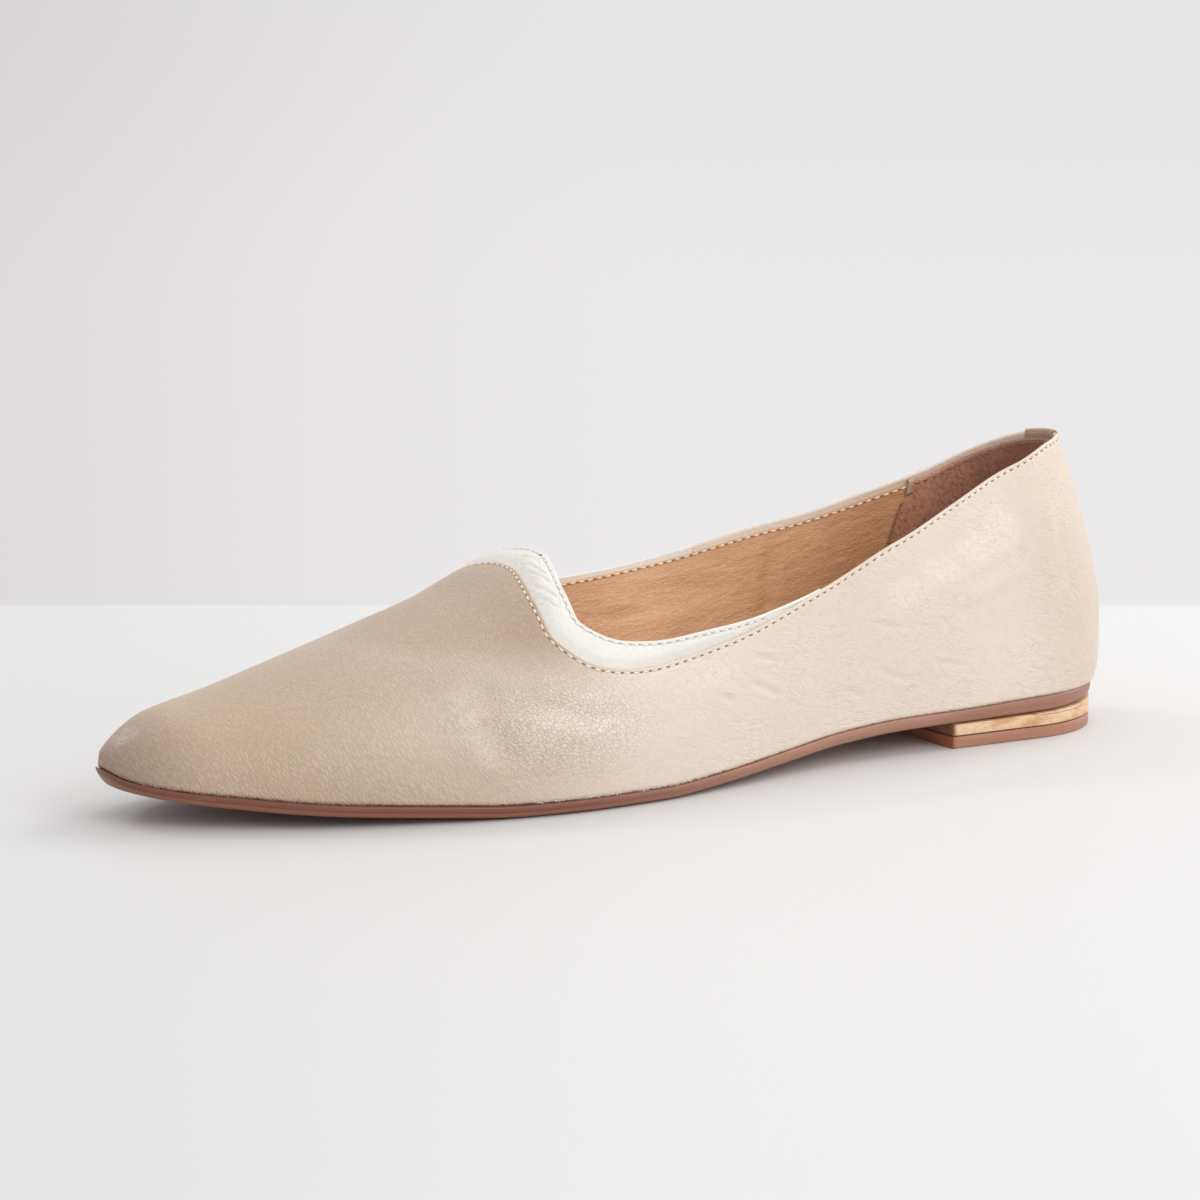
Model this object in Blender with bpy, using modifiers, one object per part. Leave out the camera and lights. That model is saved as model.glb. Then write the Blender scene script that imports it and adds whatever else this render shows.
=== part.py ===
"""A pointed flat shoe for the left foot: leather upper, cream collar trim, thin sole and low stacked heel.

All sizes are in millimetres. They are measured from the toe tip: x runs back to the heel, y from the
lateral (outer) side at minus to the medial (inner) side at plus, and z up from the floor.
"""

import bmesh
import bpy
import numpy as np

MM = 0.001
OBJECT = "flat_shoe"

LATERAL = -1
MEDIAL = 1
SIDE_NAMES = {LATERAL: "lateral", MEDIAL: "medial"}

GAP = 0.3
LENGTH = 267.0
TIP_OFFSET = 4.0
AXIS_RUN = 110.0
TOE_ROUND = 22.0
HEEL_ROUND = 27.0

SOLE_PROUD = 0.8
SOLE_CHAMFER = 0.8
SOLE_CHAMFER_RISE = 0.5

UPPER_WALL = 1.8
UPPER_SKIRT = 0.8
TOE_WALL = 1.6
TOE_RISE = 14.5
TRIM_RECESS = 0.6
TRIM_WALL = 1.2
TRIM_LEAST = 1.2

INSOLE_THICK = 2.0
INSOLE_INSET = 4.2

HEEL_BREAST = 212.5
HEEL_INSET = 0.3
TOP_PIECE_THICK = 2.9
WEDGE_FRONT = 238.0
WEDGE_LEAST = 0.3
WEDGE_MOST = 1.5

STRIP_REACH = 5.0
STRIP_OUTSIDE = 5.0
STRIP_INSIDE = 4.0
STRIP_THICK = 0.8
STRIP_ROWS = 4

LEAN_HEIGHT = 61.0
LEAN_FROM = 195.0

SOLE_STATIONS = 56
INSOLE_STATIONS = 40
HEEL_STATIONS = 22
UPPER_ROWS = 14
COLUMNS_PER_ROW = 3
SEAM_SAMPLES = 61
TRIM_ROWS = 3

ROW_BUNCHING = 1.9
ROW_BENDING = 1.25
FAN_STEEPNESS = 0.8
FAN_LENGTH = 107.0
LEAST_SHARE = 1e-4
WELD = 2e-6


def table(columns, *rows):
    """Named columns of numbers, a row for each section."""
    return dict(zip(columns.split(), np.array(rows, float).T))


# Plan of the sole: half widths either side of the last's axis, before the toe and heel are rounded.
OUTLINE = table(
    "x lateral medial",
    (0, 13.0, 12.5),
    (20, 20.3, 19.0),
    (40, 29.8, 26.6),
    (60, 35.4, 32.6),
    (80, 39.6, 36.4),
    (100, 41.2, 37.2),
    (120, 40.0, 34.4),
    (140, 36.2, 29.2),
    (160, 31.2, 24.6),
    (180, 26.6, 22.4),
    (200, 25.0, 22.8),
    (220, 24.7, 24.2),
    (245, 24.5, 24.5),
    (LENGTH, 24.2, 24.2),
)

# Side view of the sole: toe spring, flat tread under the ball, arch and heel seat.
SOLE = table(
    "x bottom thick",
    (0, 10.1, 2.9),
    (4, 7.9, 2.8),
    (10, 6.5, 2.8),
    (16, 5.5, 2.9),
    (25, 4.3, 3.1),
    (35, 3.2, 3.1),
    (48, 2.1, 3.1),
    (68, 0.9, 3.1),
    (86, 0.0, 3.1),
    (122, 0.0, 3.1),
    (134, 0.6, 3.1),
    (147, 1.6, 3.1),
    (164, 3.2, 3.2),
    (181, 4.7, 3.3),
    (197, 5.6, 3.4),
    (213, 5.9, 3.4),
    (240, 6.3, 4.1),
    (LENGTH, 7.4, 4.2),
)

# Cross-sections of the last: height of the crown, power of the curve, and how far each side swells out.
SECTION = table(
    "x crown power lateral medial",
    (0, 20.5, 0.90, 0.5, 0.5),
    (15, 24.5, 0.90, 0.8, 0.8),
    (30, 27.9, 0.90, 1.0, 1.0),
    (50, 33.7, 0.90, 1.2, 1.2),
    (70, 39.8, 0.88, 1.5, 1.5),
    (86, 45.0, 0.86, 1.5, 1.8),
    (98, 50.5, 0.84, 1.5, 2.0),
    (109, 53.7, 0.82, 1.5, 3.0),
    (120, 59.0, 0.80, 1.5, 4.0),
    (134, 67.0, 0.80, 2.5, 6.5),
    (150, 75.0, 0.80, 5.0, 10.0),
    (168, 84.0, 0.80, 7.0, 13.0),
    (192, 95.0, 0.80, 7.0, 10.0),
    (213, 100.0, 0.80, 3.0, 4.0),
    (238, 104.0, 0.80, -3.0, -3.0),
    (LENGTH, 105.0, 0.80, -4.0, -4.0),
)

# Curve of the heel back: how far it stands behind the feather line, by share of its height.
HEEL_BACK = table(
    "share behind",
    (0.0, 2.0),
    (0.05, 3.2),
    (0.12, 3.7),
    (0.3, 3.8),
    (0.5, 1.8),
    (0.66, -0.8),
    (0.81, -3.8),
    (0.95, -6.7),
    (1.1, -9.9),
)

# The topline, from the heel round to the middle of the throat. Each row is a line up the wall: the
# station where it leaves the feather line, the station where it ends, and the height of its end.
TOPLINE = {
    LATERAL: table(
        "foot x z",
        (LENGTH, LENGTH, 73.2),
        (265.4, 266, 73.2),
        (260, 262.5, 73.1),
        (249, 255, 72.2),
        (232, 239, 68.1),
        (212, 217, 62.0),
        (190, 194, 53.6),
        (168, 171, 44.4),
        (148, 152, 40.2),
        (128, 134, 37.9),
        (108, 119, 37.0),
        (90, 109, 38.8),
        (72, 104.0, 43.2),
        (52, 104.7, 48.4),
        (32, 106.8, 51.8),
        (14, 108.6, 53.3),
        (4, 109.3, 53.8),
        (0, 109.4, 53.9),
    ),
    MEDIAL: table(
        "foot x z",
        (LENGTH, LENGTH, 73.2),
        (265.4, 266, 73.1),
        (260, 262.5, 72.2),
        (249, 255, 69.5),
        (232, 238, 63.6),
        (212, 216, 56.9),
        (190, 194, 51.4),
        (168, 172, 46.6),
        (148, 152, 43.0),
        (128, 134, 41.2),
        (108, 119, 41.2),
        (90, 109, 43.0),
        (72, 104.6, 46.4),
        (52, 105.3, 49.6),
        (32, 106.9, 51.9),
        (14, 108.6, 53.3),
        (4, 109.3, 53.8),
        (0, 109.4, 53.9),
    ),
}

# Width of the collar trim, by the station where the wall's line leaves the feather line.
BAND = table(
    "foot width",
    (0, 8.8),
    (32, 8.2),
    (52, 7.8),
    (72, 8.0),
    (90, 8.6),
    (108, 7.6),
    (128, 5.4),
    (148, 2.7),
    (168, 0.0),
    (LENGTH, 0.0),
)

COLOURS = {
    # name: (linear colour, roughness)
    "nude_leather": ((0.56, 0.42, 0.31), 0.45),
    "cream_leather": ((0.86, 0.82, 0.74), 0.45),
    "brown_sole": ((0.22, 0.11, 0.07), 0.45),
    "tan_heel": ((0.70, 0.50, 0.31), 0.6),
    "tan_lining": ((0.48, 0.26, 0.12), 0.55),
}


def curve(data, key, name, at):
    """A smooth curve through a table's column that never overshoots its rows."""
    xs = data[key]
    ys = data[name]
    step = np.diff(xs)
    rise = np.diff(ys) / step
    slope = np.zeros_like(ys)
    for i in range(1, len(xs) - 1):
        if rise[i - 1] * rise[i] > 0:
            before = 2 * step[i] + step[i - 1]
            after = step[i] + 2 * step[i - 1]
            slope[i] = (before + after) / (before / rise[i - 1] + after / rise[i])
    slope[0] = rise[0]
    slope[-1] = rise[-1]
    at = np.asarray(at, float)
    i = np.clip(np.searchsorted(xs, at) - 1, 0, len(step) - 1)
    t = np.clip((at - xs[i]) / step[i], 0, 1)
    return (
        ys[i] * (1 + 2 * t) * (1 - t) ** 2
        + slope[i] * step[i] * t * (1 - t) ** 2
        + ys[i + 1] * (3 - 2 * t) * t ** 2
        - slope[i + 1] * step[i] * (1 - t) * t ** 2
    )


def ease(t):
    t = np.clip(t, 0, 1)
    return t * t * (3 - 2 * t)


def round_end(distance, radius):
    """1 in the middle of the shoe, falling to 0 as a quarter ellipse at an end."""
    short = 1 - np.clip(distance / radius, 0, 1)
    return np.sqrt(np.maximum(1 - short ** 2, 0))


def ends(x, inset):
    return round_end(x - inset, TOE_ROUND) * round_end(LENGTH - inset - x, HEEL_ROUND)


def axis(x):
    """Sideways place of the last's axis, which turns to the medial side at the toe."""
    return TIP_OFFSET * (1 - ease(x / AXIS_RUN))


def half_width(x, side, inset=0.0):
    return (curve(OUTLINE, "x", SIDE_NAMES[side], x) - inset) * ends(x, inset)


def sole_bottom(x):
    return curve(SOLE, "x", "bottom", x)


def feather(x):
    """Height of the feather line, where the upper meets the sole."""
    return sole_bottom(x) + curve(SOLE, "x", "thick", x)


def wall_foot(x):
    """Height where the wall starts to curve, above its short upright skirt."""
    return feather(x) + GAP + UPPER_SKIRT


def crown_rise(x):
    rise = curve(SECTION, "x", "crown", x) - wall_foot(x)
    return TOE_WALL + (rise - TOE_WALL) * round_end(x - SOLE_PROUD, TOE_RISE)


def heel_lean(x, z):
    share = (z - feather(x)) / LEAN_HEIGHT
    behind = curve(HEEL_BACK, "share", "behind", share)
    return behind * ease((x - LEAN_FROM) / (LENGTH - LEAN_FROM))


def last(x, turn, side):
    """Points of the last at stations x, turned from the feather line (0) up to the crown (1)."""
    angle = turn * np.pi / 2
    power = curve(SECTION, "x", "power", x)
    swell = curve(SECTION, "x", SIDE_NAMES[side], x) * ends(x, SOLE_PROUD)
    wide = half_width(x, side, SOLE_PROUD) * np.abs(np.cos(angle)) ** power
    z = wall_foot(x) + crown_rise(x) * np.sin(angle) ** power
    y = axis(x) + side * (wide + swell * np.sin(2 * angle))
    return np.stack([x + heel_lean(x, z), y, z], -1)


def turn_at(x, z):
    """How far round its section the last reaches height z."""
    share = np.clip((z - wall_foot(x)) / crown_rise(x), 0, 1)
    return np.arcsin(share ** (1 / curve(SECTION, "x", "power", x))) * 2 / np.pi


def wall_lines(side):
    """Feather station, topline station and topline turn of every line up one side's wall."""
    rows = TOPLINE[side]
    foot = np.clip(rows["foot"], SOLE_PROUD, LENGTH - SOLE_PROUD)
    x = np.clip(rows["x"], SOLE_PROUD, LENGTH - SOLE_PROUD)
    ends_of = {"row": np.arange(len(foot), dtype=float), "foot": foot, "x": x, "turn": turn_at(x, rows["z"])}
    ends_of["turn"][-1] = 1
    at = np.linspace(0, len(foot) - 1, COLUMNS_PER_ROW * (len(foot) - 1) + 1)
    return {name: curve(ends_of, "row", name, at) for name in ("foot", "x", "turn")}


def wall(side, share):
    """Points of one side of the upper, at a share of the way from the feather line to the topline."""
    lines = wall_lines(side)
    x = lines["foot"] + (lines["x"] - lines["foot"]) * share ** ROW_BUNCHING
    fan = np.clip((lines["foot"] - SOLE_PROUD) / FAN_LENGTH, LEAST_SHARE, 1)
    climb = 1 - (1 - share) ** (ROW_BENDING / fan ** FAN_STEEPNESS)
    return last(x, lines["turn"] * climb, side)


def share_below_topline(side, depth):
    """Share of each wall line at a given depth below the topline, measured along the line."""
    shares = np.linspace(0, 1, SEAM_SAMPLES)
    points = np.stack([wall(side, np.full(len(depth), s)) for s in shares])
    steps = np.linalg.norm(np.diff(points, axis=0), axis=-1)
    below = np.zeros((SEAM_SAMPLES, len(depth)))
    below[:-1] = np.cumsum(steps[::-1], axis=0)[::-1]
    return np.array([np.interp(-d, -below[:, i], shares) for i, d in enumerate(depth)])


def trim_width(side):
    """Width of the collar trim on each wall line, with its thin ends cut off."""
    width = curve(BAND, "foot", "width", wall_lines(side)["foot"])
    return np.where(width < TRIM_LEAST, 0, width)


def ring(lateral, medial):
    """One closed row: heel to throat on the lateral side, and back on the medial side."""
    return np.concatenate([lateral, medial[-2:0:-1]])


def mesh_object(name, material, bm, collection):
    bmesh.ops.remove_doubles(bm, verts=bm.verts, dist=WELD)
    mesh = bpy.data.meshes.new(name)
    bm.to_mesh(mesh)
    bm.free()
    mesh.materials.append(material)
    mesh.shade_smooth()
    piece = bpy.data.objects.new(name, mesh)
    collection.objects.link(piece)
    return piece


def sheet(rows, closed):
    """A surface through rows of points, as a bmesh. Closed rows join their last point to their first."""
    bm = bmesh.new()
    grid = [[bm.verts.new(point * MM) for point in row] for row in rows]
    columns = len(rows[0])
    for low, high in zip(grid, grid[1:]):
        for i in range(columns if closed else columns - 1):
            after = (i + 1) % columns
            bm.faces.new((low[i], high[i], high[after], low[after]))
    return bm


def thicken(piece, thick, recess=0.0):
    shell = piece.modifiers.new("wall", "SOLIDIFY")
    shell.thickness = thick * MM
    shell.offset = -1 - 2 * recess / thick
    shell.use_quality_normals = True
    return piece


def loft(sections):
    """A closed solid through rings of points, with an end face where a ring has any width."""
    bm = bmesh.new()
    grid = [[bm.verts.new(point * MM) for point in section] for section in sections]
    count = len(grid[0])
    for front, back in zip(grid, grid[1:]):
        for i in range(count):
            after = (i + 1) % count
            bm.faces.new((front[i], front[after], back[after], back[i]))
    bm.faces.new(grid[0][::-1])
    bm.faces.new(grid[-1])
    bmesh.ops.remove_doubles(bm, verts=bm.verts, dist=WELD)
    bmesh.ops.dissolve_degenerate(bm, edges=bm.edges, dist=WELD)
    bmesh.ops.recalc_face_normals(bm, faces=bm.faces)
    return bm


def stations(start, stop, count):
    """Stations that crowd together towards both ends, where the outline is round."""
    return start + (stop - start) * (1 - np.cos(np.linspace(0, np.pi, count + 1))) / 2


def back_stations(start, stop, count):
    """Stations that crowd together towards the heel back only."""
    return start + (stop - start) * np.sin(np.linspace(0, np.pi / 2, count + 1))


def plate(xs, inset, low, high, chamfer=0.0, chamfer_rise=0.0):
    """A plate with the sole's outline, between two heights, its lower edge cut back if asked."""
    sections = []
    for x, bottom, top in zip(xs, low, high):
        near = half_width(x, LATERAL, inset)
        far = half_width(x, MEDIAL, inset)
        cut = min(chamfer, near, far)
        profile = [(-near, top), (far, top)]
        if chamfer:
            profile += [(far, bottom + chamfer_rise), (far - cut, bottom)]
            profile += [(-near + cut, bottom), (-near, bottom + chamfer_rise)]
        else:
            profile += [(far, bottom), (-near, bottom)]
        sections.append(np.array([(x, axis(x) + y, z) for y, z in profile]))
    return loft(sections)


def make_outsole(materials, collection):
    xs = stations(0, LENGTH, SOLE_STATIONS)
    bm = plate(xs, 0, sole_bottom(xs), feather(xs), SOLE_CHAMFER, SOLE_CHAMFER_RISE)
    return mesh_object("outsole", materials["brown_sole"], bm, collection)


def make_insole(materials, collection):
    xs = stations(INSOLE_INSET, LENGTH - INSOLE_INSET, INSOLE_STATIONS)
    low = feather(xs) + GAP
    bm = plate(xs, INSOLE_INSET, low, low + INSOLE_THICK)
    return mesh_object("insole", materials["tan_lining"], bm, collection)


def wedge_thickness(x):
    """The thin tan wedge that levels the heel seat, thickest at the heel back."""
    return WEDGE_LEAST + (WEDGE_MOST - WEDGE_LEAST) * (x - WEDGE_FRONT) / (LENGTH - WEDGE_FRONT)


def make_heel(materials, collection):
    heel_end = LENGTH - HEEL_INSET
    xs = back_stations(HEEL_BREAST, heel_end, HEEL_STATIONS)
    floor = np.zeros_like(xs)
    low = floor + TOP_PIECE_THICK
    bm = plate(xs, HEEL_INSET, floor, low)
    mesh_object("heel_top_piece", materials["brown_sole"], bm, collection)

    under_wedge = sole_bottom(xs) - np.where(xs < WEDGE_FRONT - GAP, 0, wedge_thickness(xs) + GAP)
    bm = plate(xs, HEEL_INSET, low + GAP, under_wedge - GAP)
    mesh_object("heel_stack", materials["tan_heel"], bm, collection)

    xs = back_stations(WEDGE_FRONT, heel_end, HEEL_STATIONS)
    top = sole_bottom(xs) - GAP
    bm = plate(xs, HEEL_INSET, top - wedge_thickness(xs), top)
    mesh_object("heel_wedge", materials["tan_heel"], bm, collection)


def make_upper(materials, collection):
    tops = {}
    for side in (LATERAL, MEDIAL):
        width = trim_width(side)
        tops[side] = share_below_topline(side, np.where(width > 0, width + GAP, 0))
    rows = []
    for row in np.linspace(0, 1, UPPER_ROWS + 1):
        rows.append(ring(wall(LATERAL, tops[LATERAL] * row), wall(MEDIAL, tops[MEDIAL] * row)))
    rows.insert(0, rows[0] - (0, 0, UPPER_SKIRT))
    piece = mesh_object("upper", materials["nude_leather"], sheet(rows, True), collection)
    return thicken(piece, UPPER_WALL)


def make_collar_trim(materials, collection):
    lines = {}
    for side in (LATERAL, MEDIAL):
        width = trim_width(side)
        bottom = share_below_topline(side, width)
        rows = [wall(side, bottom + (1 - bottom) * row) for row in np.linspace(0, 1, TRIM_ROWS + 1)]
        lines[side] = [row[width > 0] for row in rows]
    rows = [np.concatenate([a, b[-2::-1]]) for a, b in zip(lines[LATERAL], lines[MEDIAL])]
    piece = mesh_object("collar_trim", materials["cream_leather"], sheet(rows, False), collection)
    return thicken(piece, TRIM_WALL, TRIM_RECESS)


def heel_rows(depths):
    """Rows of wall points across the heel back, from medial to lateral, at depths below the topline."""
    rows = []
    for depth in depths:
        sides = {}
        for side in (LATERAL, MEDIAL):
            topline = wall(side, 1.0)
            sides[side] = wall(side, share_below_topline(side, np.full(len(topline), depth)))
        rows.append(ring(sides[LATERAL], sides[MEDIAL]))
    reach = np.flatnonzero(np.abs(wall(LATERAL, 1.0)[:, 1]) > STRIP_REACH)[0]
    return np.array([np.roll(row, reach, axis=0)[:2 * reach + 1] for row in rows])


def make_back_strip(materials, collection):
    """A short strip of the upper's leather, folded over the topline at the heel back."""
    outside = np.linspace(STRIP_OUTSIDE, 0, STRIP_ROWS + 1)
    inside = np.linspace(0, STRIP_INSIDE, STRIP_ROWS + 1)
    legs = []
    for depths, offset in ((outside, GAP), (inside, -UPPER_WALL - GAP)):
        points = heel_rows(depths)
        up = np.gradient(points, -depths, axis=0)
        out = np.cross(up, np.gradient(points, axis=1))
        out /= np.linalg.norm(out, axis=-1, keepdims=True)
        rim = np.where(depths == 0, GAP, 0)[:, None, None]
        legs.append(points + out * offset + up * rim)
    rows = np.concatenate(legs)
    piece = mesh_object("back_strip", materials["nude_leather"], sheet(rows, False), collection)
    return thicken(piece, STRIP_THICK, -STRIP_THICK)


def scene_of_parts():
    for obj in list(bpy.data.objects):
        bpy.data.objects.remove(obj, do_unlink=True)
    collection = bpy.data.collections.new(OBJECT)
    bpy.context.scene.collection.children.link(collection)
    return collection


def make_materials():
    materials = {}
    for name, (colour, roughness) in COLOURS.items():
        material = bpy.data.materials.new(name)
        material.use_nodes = True
        shader = material.node_tree.nodes["Principled BSDF"]
        shader.inputs["Base Color"].default_value = (*colour, 1)
        shader.inputs["Roughness"].default_value = roughness
        shader.inputs["Metallic"].default_value = 0
        materials[name] = material
    return materials


def centre(collection):
    """Hang every part on one empty, with the origin on the floor under the middle of the shoe."""
    bpy.context.view_layer.update()
    graph = bpy.context.evaluated_depsgraph_get()
    corners = []
    for piece in collection.objects:
        corners += [np.array(corner) for corner in piece.evaluated_get(graph).bound_box]
    low = np.min(corners, axis=0)
    high = np.max(corners, axis=0)
    root = bpy.data.objects.new(OBJECT + "_origin", None)
    for piece in collection.objects:
        piece.parent = root
    collection.objects.link(root)
    root.location = (-(low[0] + high[0]) / 2, -(low[1] + high[1]) / 2, -low[2])


def main():
    collection = scene_of_parts()
    materials = make_materials()
    make_outsole(materials, collection)
    make_heel(materials, collection)
    make_insole(materials, collection)
    make_upper(materials, collection)
    make_collar_trim(materials, collection)
    make_back_strip(materials, collection)
    centre(collection)


main()
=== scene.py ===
"""Looks of a pointed flat shoe for the left foot: grained leather, seams, linings, sole edge and heel.

Sizes in the tables are in millimetres from the toe tip: x runs back to the heel, y from the lateral
side at minus to the medial side at plus, and z up from the floor. place() brings them into the frame.
"""

import math

import bmesh
import bpy
import numpy as np
from bpy.props import FloatProperty, FloatVectorProperty, PointerProperty
from bpy.types import NodeSocket, Operator, Panel, PropertyGroup
from mathutils import Matrix, Vector


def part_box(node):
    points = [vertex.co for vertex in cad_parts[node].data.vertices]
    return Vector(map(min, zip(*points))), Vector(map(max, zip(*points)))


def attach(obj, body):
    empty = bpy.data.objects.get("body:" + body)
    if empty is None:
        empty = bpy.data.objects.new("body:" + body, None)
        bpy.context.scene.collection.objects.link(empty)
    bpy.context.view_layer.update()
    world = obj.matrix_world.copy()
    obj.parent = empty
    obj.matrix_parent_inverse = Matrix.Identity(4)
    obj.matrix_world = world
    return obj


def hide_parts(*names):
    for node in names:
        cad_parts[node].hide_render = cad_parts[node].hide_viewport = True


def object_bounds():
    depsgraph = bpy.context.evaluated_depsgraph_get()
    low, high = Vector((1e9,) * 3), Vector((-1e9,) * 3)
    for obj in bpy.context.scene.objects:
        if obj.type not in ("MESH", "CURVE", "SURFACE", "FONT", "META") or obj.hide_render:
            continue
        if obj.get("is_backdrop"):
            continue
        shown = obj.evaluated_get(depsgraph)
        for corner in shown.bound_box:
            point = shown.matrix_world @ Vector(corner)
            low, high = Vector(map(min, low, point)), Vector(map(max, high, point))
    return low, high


bl_info = {
    "name": "Flat Shoe",
    "version": (1, 0, 0),
    "blender": (4, 5, 0),
    "location": "View3D > Sidebar > Flat Shoe",
    "description": "Builds the visible pieces, materials and studio of a pointed flat shoe",
    "category": "Object",
}

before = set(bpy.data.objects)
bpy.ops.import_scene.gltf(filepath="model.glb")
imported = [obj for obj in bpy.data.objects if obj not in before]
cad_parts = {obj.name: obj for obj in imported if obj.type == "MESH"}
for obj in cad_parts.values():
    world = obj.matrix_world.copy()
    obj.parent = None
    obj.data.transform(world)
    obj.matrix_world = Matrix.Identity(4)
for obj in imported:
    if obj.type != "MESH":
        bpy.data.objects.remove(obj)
CAD_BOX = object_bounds()

MM = 0.001
WELD = 2e-6
LATERAL = -1
MEDIAL = 1

LENGTH = 267.0
TIP_OFFSET = 4.0
AXIS_RUN = 110.0
TOE_ROUND = 22.0
HEEL_ROUND = 27.0
SOLE_PROUD = 0.8
WALL_START = 1.1
TOE_WALL = 1.6
TOE_RISE = 14.5
LEAN_HEIGHT = 61.0
LEAN_FROM = 195.0
ROW_BUNCHING = 1.9
ROW_BENDING = 1.25
FAN_STEEPNESS = 0.8
FAN_LENGTH = 107.0
LEAST_SHARE = 1e-4

HEEL_BREAST = 212.5
HEEL_INSET = 0.3
TOP_PIECE_THICK = 2.9
HEEL_JOINT = 0.25
WEDGE_FRONT = 238.0
WEDGE_LEAST = 0.3
WEDGE_MOST = 1.5

CAMERA_AT = (-308.55, -754.195, 186.315)
CAMERA_YAW = 30.0
CAMERA_PITCH = 9.5
CAMERA_LENS = 111.75
CAMERA_SENSOR = 36.0
CAMERA_CLIP = (0.01, 50.0)
WALL_AWAY = 1.104


def table(columns, *rows):
    """Named columns of numbers, a row for each section."""
    return dict(zip(columns.split(), np.array(rows, float).T))


# Plan of the sole: half widths either side of the last's axis, before the toe and heel are rounded.
OUTLINE = table(
    "x lateral medial",
    (0, 13.0, 12.5),
    (20, 20.3, 19.0),
    (40, 29.8, 26.6),
    (60, 35.4, 32.6),
    (80, 39.6, 36.4),
    (100, 41.2, 37.2),
    (120, 40.0, 34.4),
    (140, 36.2, 29.2),
    (160, 31.2, 24.6),
    (180, 26.6, 22.4),
    (200, 25.0, 22.8),
    (220, 24.7, 24.2),
    (245, 24.5, 24.5),
    (LENGTH, 24.2, 24.2),
)

# Side view of the sole: toe spring, flat tread under the ball, arch and heel seat.
SOLE = table(
    "x bottom thick",
    (0, 10.1, 2.9),
    (4, 7.9, 2.8),
    (10, 6.5, 2.8),
    (16, 5.5, 2.9),
    (25, 4.3, 3.1),
    (35, 3.2, 3.1),
    (48, 2.1, 3.1),
    (68, 0.9, 3.1),
    (86, 0.0, 3.1),
    (122, 0.0, 3.1),
    (134, 0.6, 3.1),
    (147, 1.6, 3.1),
    (164, 3.2, 3.2),
    (181, 4.7, 3.3),
    (197, 5.6, 3.4),
    (213, 5.9, 3.4),
    (240, 6.3, 4.1),
    (LENGTH, 7.4, 4.2),
)

# Cross-sections of the last: height of the crown, power of the curve, and how far each side swells out.
SECTION = table(
    "x crown power lateral medial",
    (0, 20.5, 0.90, 0.5, 0.5),
    (15, 24.5, 0.90, 0.8, 0.8),
    (30, 27.9, 0.90, 1.0, 1.0),
    (50, 33.7, 0.90, 1.2, 1.2),
    (70, 39.8, 0.88, 1.5, 1.5),
    (86, 45.0, 0.86, 1.5, 1.8),
    (98, 50.5, 0.84, 1.5, 2.0),
    (109, 53.7, 0.82, 1.5, 3.0),
    (120, 59.0, 0.80, 1.5, 4.0),
    (134, 67.0, 0.80, 2.5, 6.5),
    (150, 75.0, 0.80, 5.0, 10.0),
    (168, 84.0, 0.80, 7.0, 13.0),
    (192, 95.0, 0.80, 7.0, 10.0),
    (213, 100.0, 0.80, 3.0, 4.0),
    (238, 104.0, 0.80, -3.0, -3.0),
    (LENGTH, 105.0, 0.80, -4.0, -4.0),
)

# Curve of the heel back: how far it stands behind the feather line, by share of its height.
HEEL_BACK = table(
    "share behind",
    (0.0, 2.0),
    (0.05, 3.2),
    (0.12, 3.7),
    (0.3, 3.8),
    (0.5, 1.8),
    (0.66, -0.8),
    (0.81, -3.8),
    (0.95, -6.7),
    (1.1, -9.9),
)

# The topline, from the heel round to the middle of the throat. Each row is a line up the wall: the
# station where it leaves the feather line, the station where it ends, and the height of its end.
TOPLINE = {
    LATERAL: table(
        "foot x z",
        (LENGTH, LENGTH, 73.2),
        (265.4, 266, 73.2),
        (260, 262.5, 73.1),
        (249, 255, 72.2),
        (232, 239, 68.1),
        (212, 217, 62.0),
        (190, 194, 53.6),
        (168, 171, 44.4),
        (148, 152, 40.2),
        (128, 134, 37.9),
        (108, 119, 37.0),
        (90, 109, 38.8),
        (72, 104.0, 43.2),
        (52, 104.7, 48.4),
        (32, 106.8, 51.8),
        (14, 108.6, 53.3),
        (4, 109.3, 53.8),
        (0, 109.4, 53.9),
    ),
    MEDIAL: table(
        "foot x z",
        (LENGTH, LENGTH, 73.2),
        (265.4, 266, 73.1),
        (260, 262.5, 72.2),
        (249, 255, 69.5),
        (232, 238, 63.6),
        (212, 216, 56.9),
        (190, 194, 51.4),
        (168, 172, 46.6),
        (148, 152, 43.0),
        (128, 134, 41.2),
        (108, 119, 41.2),
        (90, 109, 43.0),
        (72, 104.6, 46.4),
        (52, 105.3, 49.6),
        (32, 106.9, 51.9),
        (14, 108.6, 53.3),
        (4, 109.3, 53.8),
        (0, 109.4, 53.9),
    ),
}

# Width of the collar trim, by the station where the wall's line leaves the feather line.
BAND = table(
    "foot width",
    (0, 8.8),
    (32, 8.2),
    (52, 7.8),
    (72, 8.0),
    (90, 8.6),
    (108, 7.6),
    (128, 5.4),
    (148, 2.7),
    (168, 0.0),
    (LENGTH, 0.0),
)

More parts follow.
